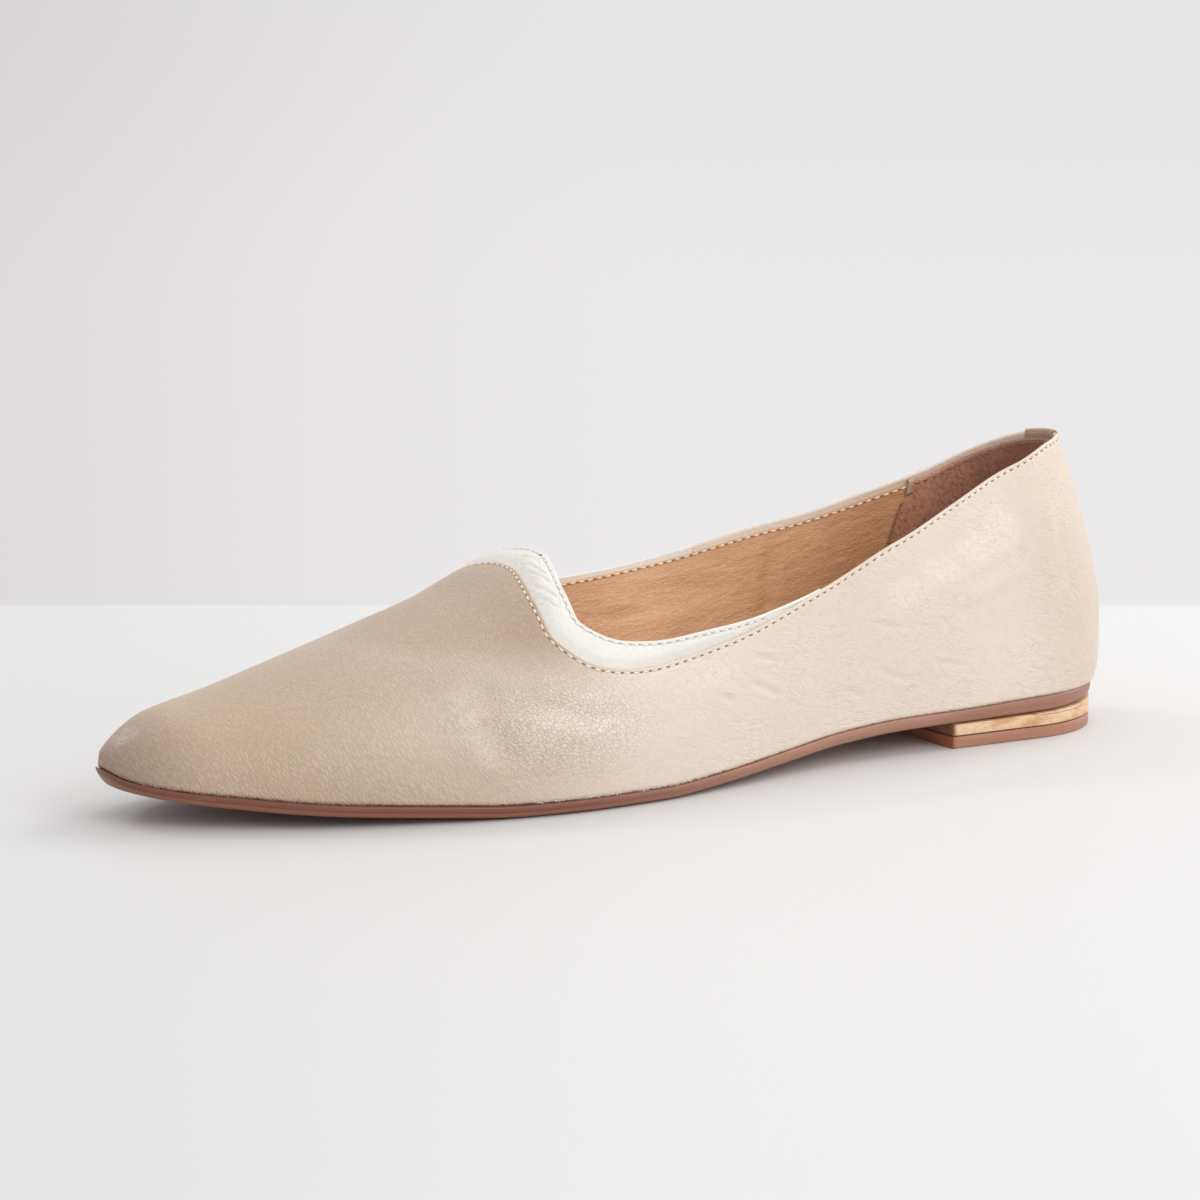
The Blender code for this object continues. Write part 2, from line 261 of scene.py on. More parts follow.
# Folds of the worn upper, as lines on its surface: half width, depth (minus for a ridge), points.
UPPER_FOLDS = [
    (2.2, 0.45, [(86.9, -36.2, 26.2), (93.3, -38.4, 23.9), (100.4, -39.6, 21.6), (113.5, -39.5, 21.4)]),
    (3.5, -0.70, [(69.5, -28.5, 30.5), (72.1, -33.0, 24.6), (74.5, -35.6, 19.0)]),
    (3.0, 0.80, [(76.0, -34.0, 25.0), (79.5, -37.4, 17.8), (83.5, -38.8, 11.0)]),
    (4.5, -0.32, [(83.5, -36.5, 23.0), (90.0, -38.8, 19.5), (99.0, -40.0, 18.0)]),
    (4.5, -0.40, [(95.8, -36.3, 30.6), (86.0, -34.8, 28.2), (78.0, -32.5, 28.0)]),
    (4.5, 0.20, [(84.0, -39.0, 9.5), (95.0, -40.3, 9.0), (108.0, -40.3, 9.0)]),
    (0.7, 0.32, [(91.1, -33.3, 33.6), (98.2, -35.8, 32.6)]),
    (0.7, 0.30, [(186.9, -26.5, 23.1), (200.6, -24.8, 17.6)]),
    (0.7, 0.30, [(178.8, -27.1, 18.6), (186.4, -25.7, 15.2)]),
    (0.7, 0.30, [(146.6, -35.1, 25.0), (159.5, -31.8, 19.1)]),
    (0.7, 0.30, [(137.7, -36.6, 23.2), (142.7, -35.7, 20.2)]),
    (0.7, 0.26, [(205.2, -25.0, 22.4), (216.6, -24.3, 20.5)]),
    (0.7, 0.26, [(186.7, -27.7, 34.5), (194.5, -26.6, 31.5)]),
    (0.7, 0.26, [(147.4, -35.1, 30.8), (155.9, -33.5, 28.8)]),
    (1.8, -0.22, [(210.4, -25.2, 35.3), (226.7, -23.1, 39.8), (242.6, -21.2, 44.5)]),
    (1.8, -0.22, [(242.6, -21.2, 44.5), (244.9, -20.0, 50.2), (244.2, -19.0, 56.1), (243.3, -18.6, 59.1)]),
]

# Small creases of the collar trim at the near corner of the throat.
TRIM_FOLDS = [
    (0.45, 0.26, [(103.5, 0.8, 52.3), (105.2, -2.6, 52.1), (106.2, -8.5, 51.6)]),
    (0.45, 0.30, [(101.8, -4.0, 51.2), (103.4, -8.0, 51.0), (103.2, -12.9, 50.2), (103.5, -17.4, 49.0)]),
    (0.45, 0.30, [(100.6, -9.8, 50.2), (101.7, -12.6, 49.8), (102.4, -16.4, 49.1), (103.0, -20.3, 47.9)]),
    (0.45, 0.30, [(99.4, -15.2, 48.6), (99.9, -17.9, 47.8), (101.3, -21.8, 46.6), (102.2, -24.2, 45.6)]),
    (0.35, 0.18, [(99.3, -18.4, 47.3), (100.5, -21.2, 46.7)]),
    (0.40, 0.24, [(98.5, -21.0, 46.0), (99.6, -23.0, 45.4), (101.0, -26.0, 44.0)]),
]


def colour_setting(name, description, default):
    return FloatVectorProperty(name=name, description=description, subtype="COLOR", default=default)


def size_setting(name, description, millimetres):
    return FloatProperty(name=name, description=description, unit="LENGTH", default=millimetres * MM)


def light_setting(name, description, watts):
    return FloatProperty(name=name, description=description, unit="POWER", default=watts)


class ShoeColours(PropertyGroup):
    """Base colours of the shoe's materials."""

    nude: colour_setting("Nude Leather", "Leather of the upper", (0.695, 0.605, 0.515))
    cream: colour_setting("Cream Leather", "Leather of the collar trim", (0.755, 0.73, 0.688))
    lining: colour_setting("Lining", "Tan lining and sock", (0.70, 0.432, 0.25))
    suede: colour_setting("Counter Suede", "Suede lining of the heel", (0.40, 0.185, 0.112))
    sole: colour_setting("Sole", "Edge and underside of the sole", (0.225, 0.085, 0.047))
    stack: colour_setting("Heel Stack", "Fibre board of the heel", (0.66, 0.45, 0.27))
    thread: colour_setting("Thread", "Sewing thread", (0.79, 0.72, 0.63))
    # The two hole colours paint the shade of the needle holes; the Needle Hole colour is also the brown
    # thread's.
    hole: colour_setting("Needle Hole", "Holes between the stitches", (0.30, 0.155, 0.075))
    grey: colour_setting("Trim Hole", "Holes between the trim's stitches", (0.40, 0.40, 0.405))
    crumb: colour_setting("Crumbs", "Frayed leather at the feather line", (0.40, 0.31, 0.24))
    floor: colour_setting("Floor", "Studio floor", (0.665, 0.66, 0.66))


class ShoeSizes(PropertyGroup):
    """Sizes of the sewn details."""

    fold: size_setting("Folded Edge", "Radius of the upper's folded edge", 0.55)
    trim_drop: size_setting("Trim Drop", "How far the trim lies behind the upper", 0.75)
    trim_fold: size_setting("Trim Edge", "Radius of the trim's rolled edge", 0.45)
    stitch_pitch: size_setting("Stitch Pitch", "Distance from stitch to stitch", 2.45)
    stitch_length: size_setting("Stitch Length", "Visible length of a stitch", 1.5)
    stitch_width: size_setting("Thread Width", "Thickness of the thread", 0.54)
    seam_depth: size_setting("Seam Depth", "Stitch row below the folded edge", 1.1)
    trim_seam_depth: size_setting("Trim Seam Depth", "Stitch row below the trim's edge", 1.2)


class ShoeStudio(PropertyGroup):
    """Strengths of the studio's lights."""

    key: light_setting("Key Light", "Softbox in front, at the right", 31.0)
    side: light_setting("Side Light", "Softbox behind the heel", 15.0)
    back: light_setting("Back Light", "Softbox behind the toe", 1.8)
    room: FloatProperty(
        name="Room", description="Even light from the white room", subtype="FACTOR", default=0.9
    )


def curve(data, key, name, at):
    """A smooth curve through a table's column that never overshoots its rows."""
    xs = data[key]
    ys = data[name]
    step = np.diff(xs)
    rise = np.diff(ys) / step
    slope = np.zeros_like(ys)
    for i in range(1, len(xs) - 1):
        if rise[i - 1] * rise[i] > 0:
            before = 2 * step[i] + step[i - 1]
            after = step[i] + 2 * step[i - 1]
            slope[i] = (before + after) / (before / rise[i - 1] + after / rise[i])
    slope[0] = rise[0]
    slope[-1] = rise[-1]
    at = np.asarray(at, float)
    i = np.clip(np.searchsorted(xs, at) - 1, 0, len(step) - 1)
    t = np.clip((at - xs[i]) / step[i], 0, 1)
    return (
        ys[i] * (1 + 2 * t) * (1 - t) ** 2
        + slope[i] * step[i] * t * (1 - t) ** 2
        + ys[i + 1] * (3 - 2 * t) * t ** 2
        - slope[i + 1] * step[i] * (1 - t) * t ** 2
    )


def ease(t):
    """A soft rise from 0 to 1 as t goes from 0 to 1."""
    t = np.clip(t, 0, 1)
    return t * t * (3 - 2 * t)


def fade(value, start, end):
    """A soft rise from 0 where a value is at its start to 1 where it is at its end."""
    return ease((value - start) / (end - start))


def round_end(distance, radius):
    """1 in the middle of the shoe, falling to 0 as a quarter ellipse at an end."""
    short = 1 - np.clip(distance / radius, 0, 1)
    return np.sqrt(np.maximum(1 - short ** 2, 0))


def ends(x, inset):
    return round_end(x - inset, TOE_ROUND) * round_end(LENGTH - inset - x, HEEL_ROUND)


def axis(x):
    """Sideways place of the last's axis, which turns to the medial side at the toe."""
    return TIP_OFFSET * (1 - ease(x / AXIS_RUN))


def by_side(data, x, side):
    """A table's lateral or medial column, as the sides ask."""
    return np.where(side == LATERAL, curve(data, "x", "lateral", x), curve(data, "x", "medial", x))


def half_width(x, side, inset=0.0):
    return (by_side(OUTLINE, x, side) - inset) * ends(x, inset)


def sole_bottom(x):
    return curve(SOLE, "x", "bottom", x)


def feather(x):
    """Height of the feather line, where the upper meets the sole."""
    return sole_bottom(x) + curve(SOLE, "x", "thick", x)


def wall_foot(x):
    return feather(x) + WALL_START


def crown_rise(x):
    rise = curve(SECTION, "x", "crown", x) - wall_foot(x)
    return TOE_WALL + (rise - TOE_WALL) * round_end(x - SOLE_PROUD, TOE_RISE)


def heel_lean(x, z):
    share = (z - feather(x)) / LEAN_HEIGHT
    behind = curve(HEEL_BACK, "share", "behind", share)
    return behind * ease((x - LEAN_FROM) / (LENGTH - LEAN_FROM))


def last(x, turn, side):
    """Points of the last at stations x, turned from the feather line (0) up to the crown (1)."""
    angle = turn * np.pi / 2
    power = curve(SECTION, "x", "power", x)
    swell = by_side(SECTION, x, side) * ends(x, SOLE_PROUD)
    wide = half_width(x, side, SOLE_PROUD) * np.abs(np.cos(angle)) ** power
    z = wall_foot(x) + crown_rise(x) * np.sin(angle) ** power
    y = axis(x) + side * (wide + swell * np.sin(2 * angle))
    return np.stack([x + heel_lean(x, z), y, z], -1)


def turn_at(x, z):
    """How far round its section the last reaches height z."""
    share = np.clip((z - wall_foot(x)) / crown_rise(x), 0, 1)
    return np.arcsin(share ** (1 / curve(SECTION, "x", "power", x))) * 2 / np.pi


def line_ends(side):
    """Feather station, topline station and topline turn of the rows of one side's table."""
    rows = TOPLINE[side]
    foot = np.clip(rows["foot"], SOLE_PROUD, LENGTH - SOLE_PROUD)
    x = np.clip(rows["x"], SOLE_PROUD, LENGTH - SOLE_PROUD)
    turn = turn_at(x, rows["z"])
    turn[-1] = 1
    return {"row": np.linspace(0, 1, len(foot)), "foot": foot, "x": x, "turn": turn}


LINE_ENDS = {side: line_ends(side) for side in (LATERAL, MEDIAL)}


def wall_lines(at):
    """Lines up the wall: at is 0 at the heel, 1 at the throat by the lateral side, 2 at the heel again."""
    at = np.mod(at, 2)
    lateral = at <= 1
    row = np.where(lateral, at, 2 - at)
    lines = {"side": np.where(lateral, LATERAL, MEDIAL)}
    for name in ("foot", "x", "turn"):
        near = curve(LINE_ENDS[LATERAL], "row", name, row)
        far = curve(LINE_ENDS[MEDIAL], "row", name, row)
        lines[name] = np.where(lateral, near, far)
    return lines


def line_points(lines, share):
    """Points at a share of the way up the wall's lines."""
    x = lines["foot"] + (lines["x"] - lines["foot"]) * share ** ROW_BUNCHING
    fan = np.clip((lines["foot"] - SOLE_PROUD) / FAN_LENGTH, LEAST_SHARE, 1)
    climb = 1 - (1 - share) ** (ROW_BENDING / fan ** FAN_STEEPNESS)
    return last(x, lines["turn"] * climb, lines["side"])


NO_LENGTH = 1e-12


def unit(vectors):
    return vectors / np.maximum(np.linalg.norm(vectors, axis=-1, keepdims=True), NO_LENGTH)


class Wall:
    """The last's surface on a set of lines, with depths measured down from the topline."""

    SHARES = np.linspace(0, 1, 161)
    STEP = 1e-3
    LEAST = 0.02

    def __init__(self, at):
        self.at = at
        self.lines = wall_lines(at)
        self.before = wall_lines(at - self.STEP)
        self.after = wall_lines(at + self.STEP)
        self.below = None

    def measure(self):
        """Works out how far below the topline the samples of each line are."""
        points = np.stack([line_points(self.lines, share) for share in self.SHARES])
        steps = np.linalg.norm(np.diff(points, axis=0), axis=-1)
        self.below = np.zeros(points.shape[:2])
        self.below[:-1] = np.cumsum(steps[::-1], axis=0)[::-1]

    @property
    def trim(self):
        """Width of the collar trim on each line."""
        return curve(BAND, "foot", "width", self.lines["foot"])

    def share(self, depth):
        """Share of each line at a depth below the topline."""
        if self.below is None:
            self.measure()
        depth = np.broadcast_to(depth, self.at.shape)
        return np.array([np.interp(-d, -self.below[:, i], self.SHARES) for i, d in enumerate(depth)])

    def surface(self, share):
        """Points of the surface, their outward normals and the directions up the lines."""
        share = np.broadcast_to(share, self.at.shape)
        high = np.clip(share + self.STEP, self.LEAST, 1)
        low = np.clip(share - self.STEP, self.LEAST - self.STEP, 1 - self.STEP)
        up = unit(line_points(self.lines, high) - line_points(self.lines, low))
        level = np.maximum(share, self.LEAST)
        along = unit(line_points(self.after, level) - line_points(self.before, level))
        return line_points(self.lines, share), unit(np.cross(up, along)), up

    def offset(self, share, out):
        points, normals, _ = self.surface(share)
        return points + normals * np.broadcast_to(out, self.at.shape)[:, None]

    def roll(self, depth, radius, out, steps):
        """Rows over a rolled edge whose top is at a depth, from its outside to its inside."""
        points, normals, up = self.surface(self.share(depth + radius))
        middle = points + normals * (out - radius)
        turns = np.linspace(0, np.pi, steps + 1)
        return [middle + radius * (normals * math.cos(turn) + up * math.sin(turn)) for turn in turns]


OUTLINE_SAMPLES = 2000


def lowest_side():
    """How far the sole's outline reaches to the lateral side."""
    x = np.linspace(0, LENGTH, OUTLINE_SAMPLES)
    return np.min(axis(x) - half_width(x, LATERAL))


SOLE_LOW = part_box("outsole")[0]
ORIGIN = np.array([SOLE_LOW.x, SOLE_LOW.y - lowest_side() * MM, 0.0])


def place(points):
    """Points in millimetres from the toe tip, as points of the frame in metres."""
    return np.asarray(points) * MM + ORIGIN


def unplace(points):
    return (np.asarray(points) - ORIGIN) / MM


# A fold's reach and the place of its lips are in its half widths, and its ends taper over a share of it.
FOLD_REACH = 4
FOLD_TAPER = 0.3
LIP_HEIGHT = 0.4
LIP_AWAY = 1.9


def fold_relief(points, normals, folds):
    """How far a surface rises along its normals at a set of folds, each with soft lips beside it."""
    relief = np.zeros(len(points))
    for width, depth, line in folds:
        line = np.array(line)
        reach = FOLD_REACH * (width + 1)
        near = np.all((points > line.min(0) - reach) & (points < line.max(0) + reach), axis=1)
        if not near.any():
            continue
        spot = points[near]
        out = normals[near]
        lengths = np.linalg.norm(np.diff(line, axis=0), axis=1)
        starts = np.concatenate([[0], np.cumsum(lengths)])
        best = np.full(len(spot), np.inf)
        along = np.zeros(len(spot))
        for start, end, length, run in zip(line, line[1:], lengths, starts):
            t = np.clip((spot - start) @ (end - start) / length ** 2, 0, 1)
            gap = spot - start - t[:, None] * (end - start)
            gap -= out * np.sum(gap * out, axis=1, keepdims=True)
            gap = np.linalg.norm(gap, axis=1)
            along = np.where(gap < best, (run + t * length) / starts[-1], along)
            best = np.minimum(gap, best)
        taper = ease(along / FOLD_TAPER) * ease((1 - along) / FOLD_TAPER)
        trough = np.exp(-((best / width) ** 2))
        lip = np.exp(-(((best - LIP_AWAY * width) / width) ** 2))
        relief[near] -= depth * taper * (trough - LIP_HEIGHT * lip)
    return relief


def grid_sheet(rows, closed):
    """A sheet through rows of points. The ends of closed rows are welded together."""
    rows = np.asarray(rows)
    bm = bmesh.new()
    bmesh.ops.create_grid(bm, x_segments=rows.shape[1] - 1, y_segments=rows.shape[0] - 1, size=0.5)
    for vert, point in zip(bm.verts, place(rows).reshape(-1, 3)):
        vert.co = point
    if closed:
        bmesh.ops.remove_doubles(bm, verts=bm.verts, dist=WELD)
    return bm


def write_masks(mesh, masks):
    """Stores each mask's value for every vertex, worked out from its place on the shoe."""
    points = np.empty(len(mesh.vertices) * 3, np.float32)
    mesh.vertices.foreach_get("co", points)
    points = unplace(points.reshape(-1, 3))
    for name, mask in masks.items():
        layer = mesh.attributes.new(name, "FLOAT", "POINT")
        layer.data.foreach_set("value", mask(points).astype(np.float32))


def finish_piece(name, bm, material, replaces=(), masks=None):
    """Turns a bmesh into a piece of the shoe that rides on its body, with the masks its material reads."""
    mesh = bpy.data.meshes.new(name)
    bm.to_mesh(mesh)
    bm.free()
    mesh.materials.append(material)
    mesh.shade_smooth()
    if masks:
        write_masks(mesh, masks)
    piece = bpy.data.objects.new(name, mesh)
    bpy.context.scene.collection.objects.link(piece)
    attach(piece, "root")
    if replaces:
        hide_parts(*replaces)


class Nodes:
    """Adds nodes to one tree and links them as they are made."""

    def __init__(self, tree):
        self.tree = tree

    def connect(self, node, sockets):
        """Gives a node's inputs their links or plain values."""
        for name, value in sockets.items():
            if isinstance(value, NodeSocket):
                self.tree.links.new(value, node.inputs[name])
            else:
                node.inputs[name].default_value = value

    def add(self, kind, sockets=None, **settings):
        node = self.tree.nodes.new(kind)
        for name, value in settings.items():
            setattr(node, name, value)
        self.connect(node, sockets or {})
        return node

    def math(self, operation, *values):
        return self.add("ShaderNodeMath", dict(enumerate(values)), operation=operation).outputs[0]

    def times(self, first, second):
        return self.math("MULTIPLY", first, second)

    def vector(self, operation, *values):
        """A vector, or the one value of a dot product."""
        node = self.add("ShaderNodeVectorMath", dict(enumerate(values)), operation=operation)
        return node.outputs["Value" if operation == "DOT_PRODUCT" else "Vector"]

    def mix(self, factor, first, second, blend="MIX"):
        sockets = {0: factor, 6: first, 7: second}
        return self.add("ShaderNodeMix", sockets, data_type="RGBA", blend_type=blend).outputs[2]

    def step(self, value, low, high, first=0.0, last=1.0):
        sockets = {"Value": value, "From Min": low, "From Max": high, "To Min": first, "To Max": last}
        return self.add("ShaderNodeMapRange", sockets, interpolation_type="SMOOTHSTEP").outputs[0]

    def stretch(self, vector, scale, turn=None):
        """Turns a place and then scales it along the turned axes."""
        if turn:
            vector = self.add("ShaderNodeMapping", {"Vector": vector, "Rotation": turn}).outputs[0]
        return self.vector("MULTIPLY", vector, scale)

    def noise(self, vector, scale, detail=2.0, rough=0.5, output="Fac"):
        sockets = {"Vector": vector, "Scale": scale, "Detail": detail, "Roughness": rough}
        return self.add("ShaderNodeTexNoise", sockets).outputs[output]

    def cells(self, vector, scale, feature="DISTANCE_TO_EDGE"):
        sockets = {"Vector": vector, "Scale": scale}
        return self.add("ShaderNodeTexVoronoi", sockets, feature=feature).outputs["Distance"]

    def attribute(self, name):
        return self.add("ShaderNodeAttribute", attribute_name=name).outputs["Fac"]

    def place(self):
        return self.add("ShaderNodeTexCoord").outputs["Object"]

    def group(self, tree, sockets):
        return self.add("ShaderNodeGroup", sockets, node_tree=tree).outputs[0]

    def bump(self, height, distance, strength=1.0, normal=None):
        sockets = {"Height": height, "Distance": distance, "Strength": strength}
        if normal:
            sockets["Normal"] = normal
        return self.add("ShaderNodeBump", sockets).outputs[0]


FLOAT = "NodeSocketFloat"
VECTOR = "NodeSocketVector"
COLOUR = "NodeSocketColor"


def new_group(name, inputs, output, output_kind):
    """An empty node group with one output: its nodes, its inputs and its output node."""
    tree = bpy.data.node_groups.new(name, "ShaderNodeTree")
    for socket, kind in inputs.items():
        tree.interface.new_socket(socket, in_out="INPUT", socket_type=kind)
    tree.interface.new_socket(output, in_out="OUTPUT", socket_type=output_kind)
    nodes = Nodes(tree)
    return nodes, nodes.add("NodeGroupInput").outputs, nodes.add("NodeGroupOutput")


def group_named(name, make):
    """A shared node group, made the first time that it is asked for."""
    return bpy.data.node_groups.get(name) or make(name)


LARGE_CELLS = 0.65
SMALL_CELLS = 0.2
FINE_NOISE = 0.15


def make_grain(name):
    """Height of a fine leather grain: cells of two sizes, wandering a little, with a fine noise."""
    inputs = {"Vector": VECTOR, "Cells": FLOAT, "Furrow": FLOAT, "Wander": VECTOR}
    n, given, result = new_group(name, inputs, "Height", FLOAT)
    sockets = {0: given["Vector"], "Scale": given["Cells"]}
    scaled = n.add("ShaderNodeVectorMath", sockets, operation="SCALE").outputs[0]
    drift = n.noise(scaled, 0.9, 1.0, output="Color")
    either_way = n.vector("SUBTRACT", drift, (0.5, 0.5, 0.5))
    moved = n.vector("MULTIPLY_ADD", either_way, given["Wander"], scaled)
    large = n.step(n.cells(moved, 1.0), 0.0, given["Furrow"])
    small = n.step(n.cells(moved, 2.3), 0.0, given["Furrow"])
    fine = n.noise(scaled, 5.0, 2.0)
    both = n.math("MULTIPLY_ADD", small, SMALL_CELLS, n.times(large, LARGE_CELLS))
    n.connect(result, {"Height": n.math("MULTIPLY_ADD", fine, FINE_NOISE, both)})
    return n.tree


def make_wrinkles(name):
    """Fine wandering lines, 1 in a line and 0 between lines."""
    n, given, result = new_group(name, {"Vector": VECTOR, "Width": FLOAT}, "Line", FLOAT)
    level = n.noise(given["Vector"], 1.0, 3.0, 0.55)
    away = n.math("ABSOLUTE", n.math("SUBTRACT", level, 0.5))
    n.connect(result, {"Line": n.step(away, 0.0, given["Width"], 1.0, 0.0)})
    return n.tree


def make_drift(name):
    """A colour that wanders between two tones from place to place."""
    inputs = {"Vector": VECTOR, "Scale": FLOAT, "First": COLOUR, "Second": COLOUR}
    n, given, result = new_group(name, inputs, "Color", COLOUR)
    level = n.step(n.noise(given["Vector"], given["Scale"], 3.0), 0.3, 0.7)
    n.connect(result, {"Color": n.mix(level, given["First"], given["Second"])})
    return n.tree


# Grains of the leathers: how the pattern is stretched and turned, its cells in a metre, the width of a
# furrow in cells, and how far the cells wander.
GRAINS = {
    "vamp": ((1.15, 0.5, 0.36), (0.0, 0.5, 0.0), 1100.0, 0.27, 0.9),
    "ball": ((0.75, 1.0, 1.15), (0.0, -0.55, 0.0), 1150.0, 0.26, 0.9),
    "sides": ((0.22, 0.5, 1.0), (0.0, -0.2, 0.0), 1150.0, 0.2, 0.6),
    "trim": ((1.0, 1.0, 1.0), None, 1300.0, 0.24, 0.9),
    "lining": ((0.5, 0.6, 1.0), (0.0, 0.25, 0.0), 1100.0, 0.36, 0.9),
}


def grain(n, spot, kind):
    """Height of one of the leathers' grains."""
    scale, turn, cells, furrow, wander = GRAINS[kind]
    sockets = {"Cells": cells, "Furrow": furrow, "Wander": (wander, wander, wander)}
    sockets["Vector"] = n.stretch(spot, scale, turn)
    return n.group(group_named("leather_grain", make_grain), sockets)


def wrinkles(n, vector, width):
    """1 in fine wrinkles of a width, as a share of the noise that they follow."""
    return n.group(group_named("fine_wrinkles", make_wrinkles), {"Vector": vector, "Width": width})


def drifting(n, spot, scale, first, second):
    """A colour that drifts between two tones."""
    sockets = {"Vector": spot, "Scale": scale, "First": first, "Second": second}
    return n.group(group_named("tone_drift", make_drift), sockets)


def shade(colour, *factors):
    """A colour with each channel multiplied, as a socket's value."""
    factors = factors * 3 if len(factors) == 1 else factors
    return (*[c * f for c, f in zip(colour, factors)], 1.0)


def new_material(name, constants):
    """A node material with plain values on its shader: the material, its nodes and its shader."""
    material = bpy.data.materials.new(name)
    material.use_nodes = True
    nodes = Nodes(material.node_tree)
    shader = material.node_tree.nodes["Principled BSDF"]
    nodes.connect(shader, constants)
    return material, nodes, shader


# Tints of painted shade in the furrows and pores of the grains.
NUDE_FURROW_SHADE = (0.80, 0.69, 0.60, 1)
NUDE_PORE_SHADE = (0.5, 0.36, 0.27, 1)
LINING_FURROW_SHADE = (0.78, 0.68, 0.60, 1)
LINING_SHADE = (0.82, 0.76, 0.70, 1)


def nude_tones(n, spot, colour):
    """The nude leather's colour before its furrows: warmer over the toe and vamp, partly its own tone and
    partly painted shade, darker at the toe tip, and silvery where it shines, a painted highlight.
    """
    # Warmer and darker over the toe and vamp: partly the leather's own tone, partly painted shade.
    warm = n.mix(n.attribute("warm"), shade(colour, 1.0), shade(colour, 0.695, 0.585, 0.475))
    # Darker toe: at the tip partly burnish and partly painted shade, along the crown painted shade.
    toe = n.mix(n.attribute("toe"), warm, shade(colour, 0.43, 0.325, 0.265))
    # Silvery specks where the leather shines: a painted highlight.
    highlight_specks = n.step(n.noise(spot, 900.0, 2.0), 0.35, 0.65, 0.25, 0.75)
    highlighted = n.mix(n.times(n.attribute("sheen"), highlight_specks), toe, shade(colour, 1.13, 1.2, 1.28))
    blotch = drifting(n, spot, 30.0, (0.95, 0.94, 0.93, 1), (1, 1, 1, 1))
    return n.mix(1.0, highlighted, blotch, "MULTIPLY")


def nude_pores(n, spot):
    """1 in the few open pores of the nude leather."""
    few = n.step(n.noise(spot, 300.0, 1.0), 0.55, 0.6)
    return n.times(n.step(n.cells(spot, 480.0, "F1"), 0.05, 0.11, 1.0, 0.0), few)


def nude_leather(colour):
    """Grained leather: streaked over the toe, pebbled at the ball, finely wrinkled along the sides."""
    material, n, shader = new_material("nude_grain", {"Roughness": 0.4, "Coat Roughness": 0.36})
    spot = n.place()
    ball = n.attribute("bend")
    vamp = n.attribute("grain")
    sheen = n.attribute("sheen")
    swirl = n.noise(spot, 70.0, 1.0, output="Color")
    swept = n.vector("MULTIPLY_ADD", swirl, (0.008, 0.008, 0.008), spot)
    streaks = grain(n, spot, "vamp")
    pebbles = grain(n, spot, "ball")
    crinkle = grain(n, swept, "sides")
    patches = n.step(n.noise(spot, 60.0, 2.0), 0.32, 0.62, 0.35, 1.0)
    sides = n.times(n.math("SUBTRACT", 1.0, n.math("MAXIMUM", ball, vamp)), patches)
    lines = n.times(n.step(crinkle, 0.4, 0.1), n.times(sides, 0.42))
    gaps = n.times(n.step(pebbles, 0.55, 0.1), ball)
    dents = n.times(n.step(streaks, 0.5, 0.1), n.times(vamp, 0.35))
    # The grain's lines, gaps and dents are darkened: painted shade in its furrows.
    furrow = n.math("MAXIMUM", n.math("MAXIMUM", lines, gaps), dents)
    furrow_shaded = n.mix(furrow, nude_tones(n, spot, colour), NUDE_FURROW_SHADE, "MULTIPLY")
    # Dark dots in the few open pores: painted shade.
    pore_shaded = n.mix(n.times(nude_pores(n, spot), 0.45), furrow_shaded, NUDE_PORE_SHADE, "MULTIPLY")
    wave = n.bump(n.noise(swept, 110.0, 2.0), 0.0014, 0.3)
    long = wrinkles(n, n.stretch(swept, (80.0, 120.0, 380.0), (0.0, -0.25, 0.0)), 0.05)
    creased = n.bump(n.math("SUBTRACT", 1.0, long), 0.00025, n.times(sides, 0.3), wave)
    lined = n.bump(crinkle, 0.00015, n.times(sides, 0.2), creased)
    pebbled = n.bump(pebbles, 0.00025, n.times(ball, 0.6), lined)
    streaked = n.bump(streaks, 0.0003, n.times(vamp, 0.5), pebbled)
    patchy = n.math("MULTIPLY_ADD", n.noise(spot, 60.0, 3.0), 0.16, 0.33)
    polished = n.math("MULTIPLY_ADD", sheen, -0.14, patchy)
    n.connect(shader, {"Base Color": pore_shaded, "Normal": streaked, "Roughness": polished})
    n.connect(shader, {"Coat Weight": n.times(sheen, 0.45)})
    return material


def cream_leather(colour):
    """Soft cream leather with a fine grain and a few hair creases."""
    material, n, shader = new_material("cream_grain", {"Roughness": 0.48})
    spot = n.place()
    throat = n.attribute("throat")
    lines = wrinkles(n, n.stretch(spot, (260.0, 150.0, 260.0), (0.3, 0.0, 0.6)), 0.04)
    base = drifting(n, spot, 60.0, shade(colour, 0.96), shade(colour, 1.02))
    # Darker over the trim's high part round the throat: painted shade.
    shaded_at_throat = n.mix(n.times(throat, 0.1), base, shade(colour, 0.84, 0.80, 0.76))
    # Darker along the hair creases.
    darker_in_creases = n.mix(n.times(lines, 0.10), shaded_at_throat, shade(colour, 0.78, 0.72, 0.66))
    creased = n.bump(n.math("SUBTRACT", 1.0, lines), 0.0002, n.math("MULTIPLY_ADD", throat, 0.3, 0.08))
    grained = n.bump(grain(n, spot, "trim"), 0.00025, 0.3, creased)
    n.connect(shader, {"Base Color": darker_in_creases, "Normal": grained})
    return material


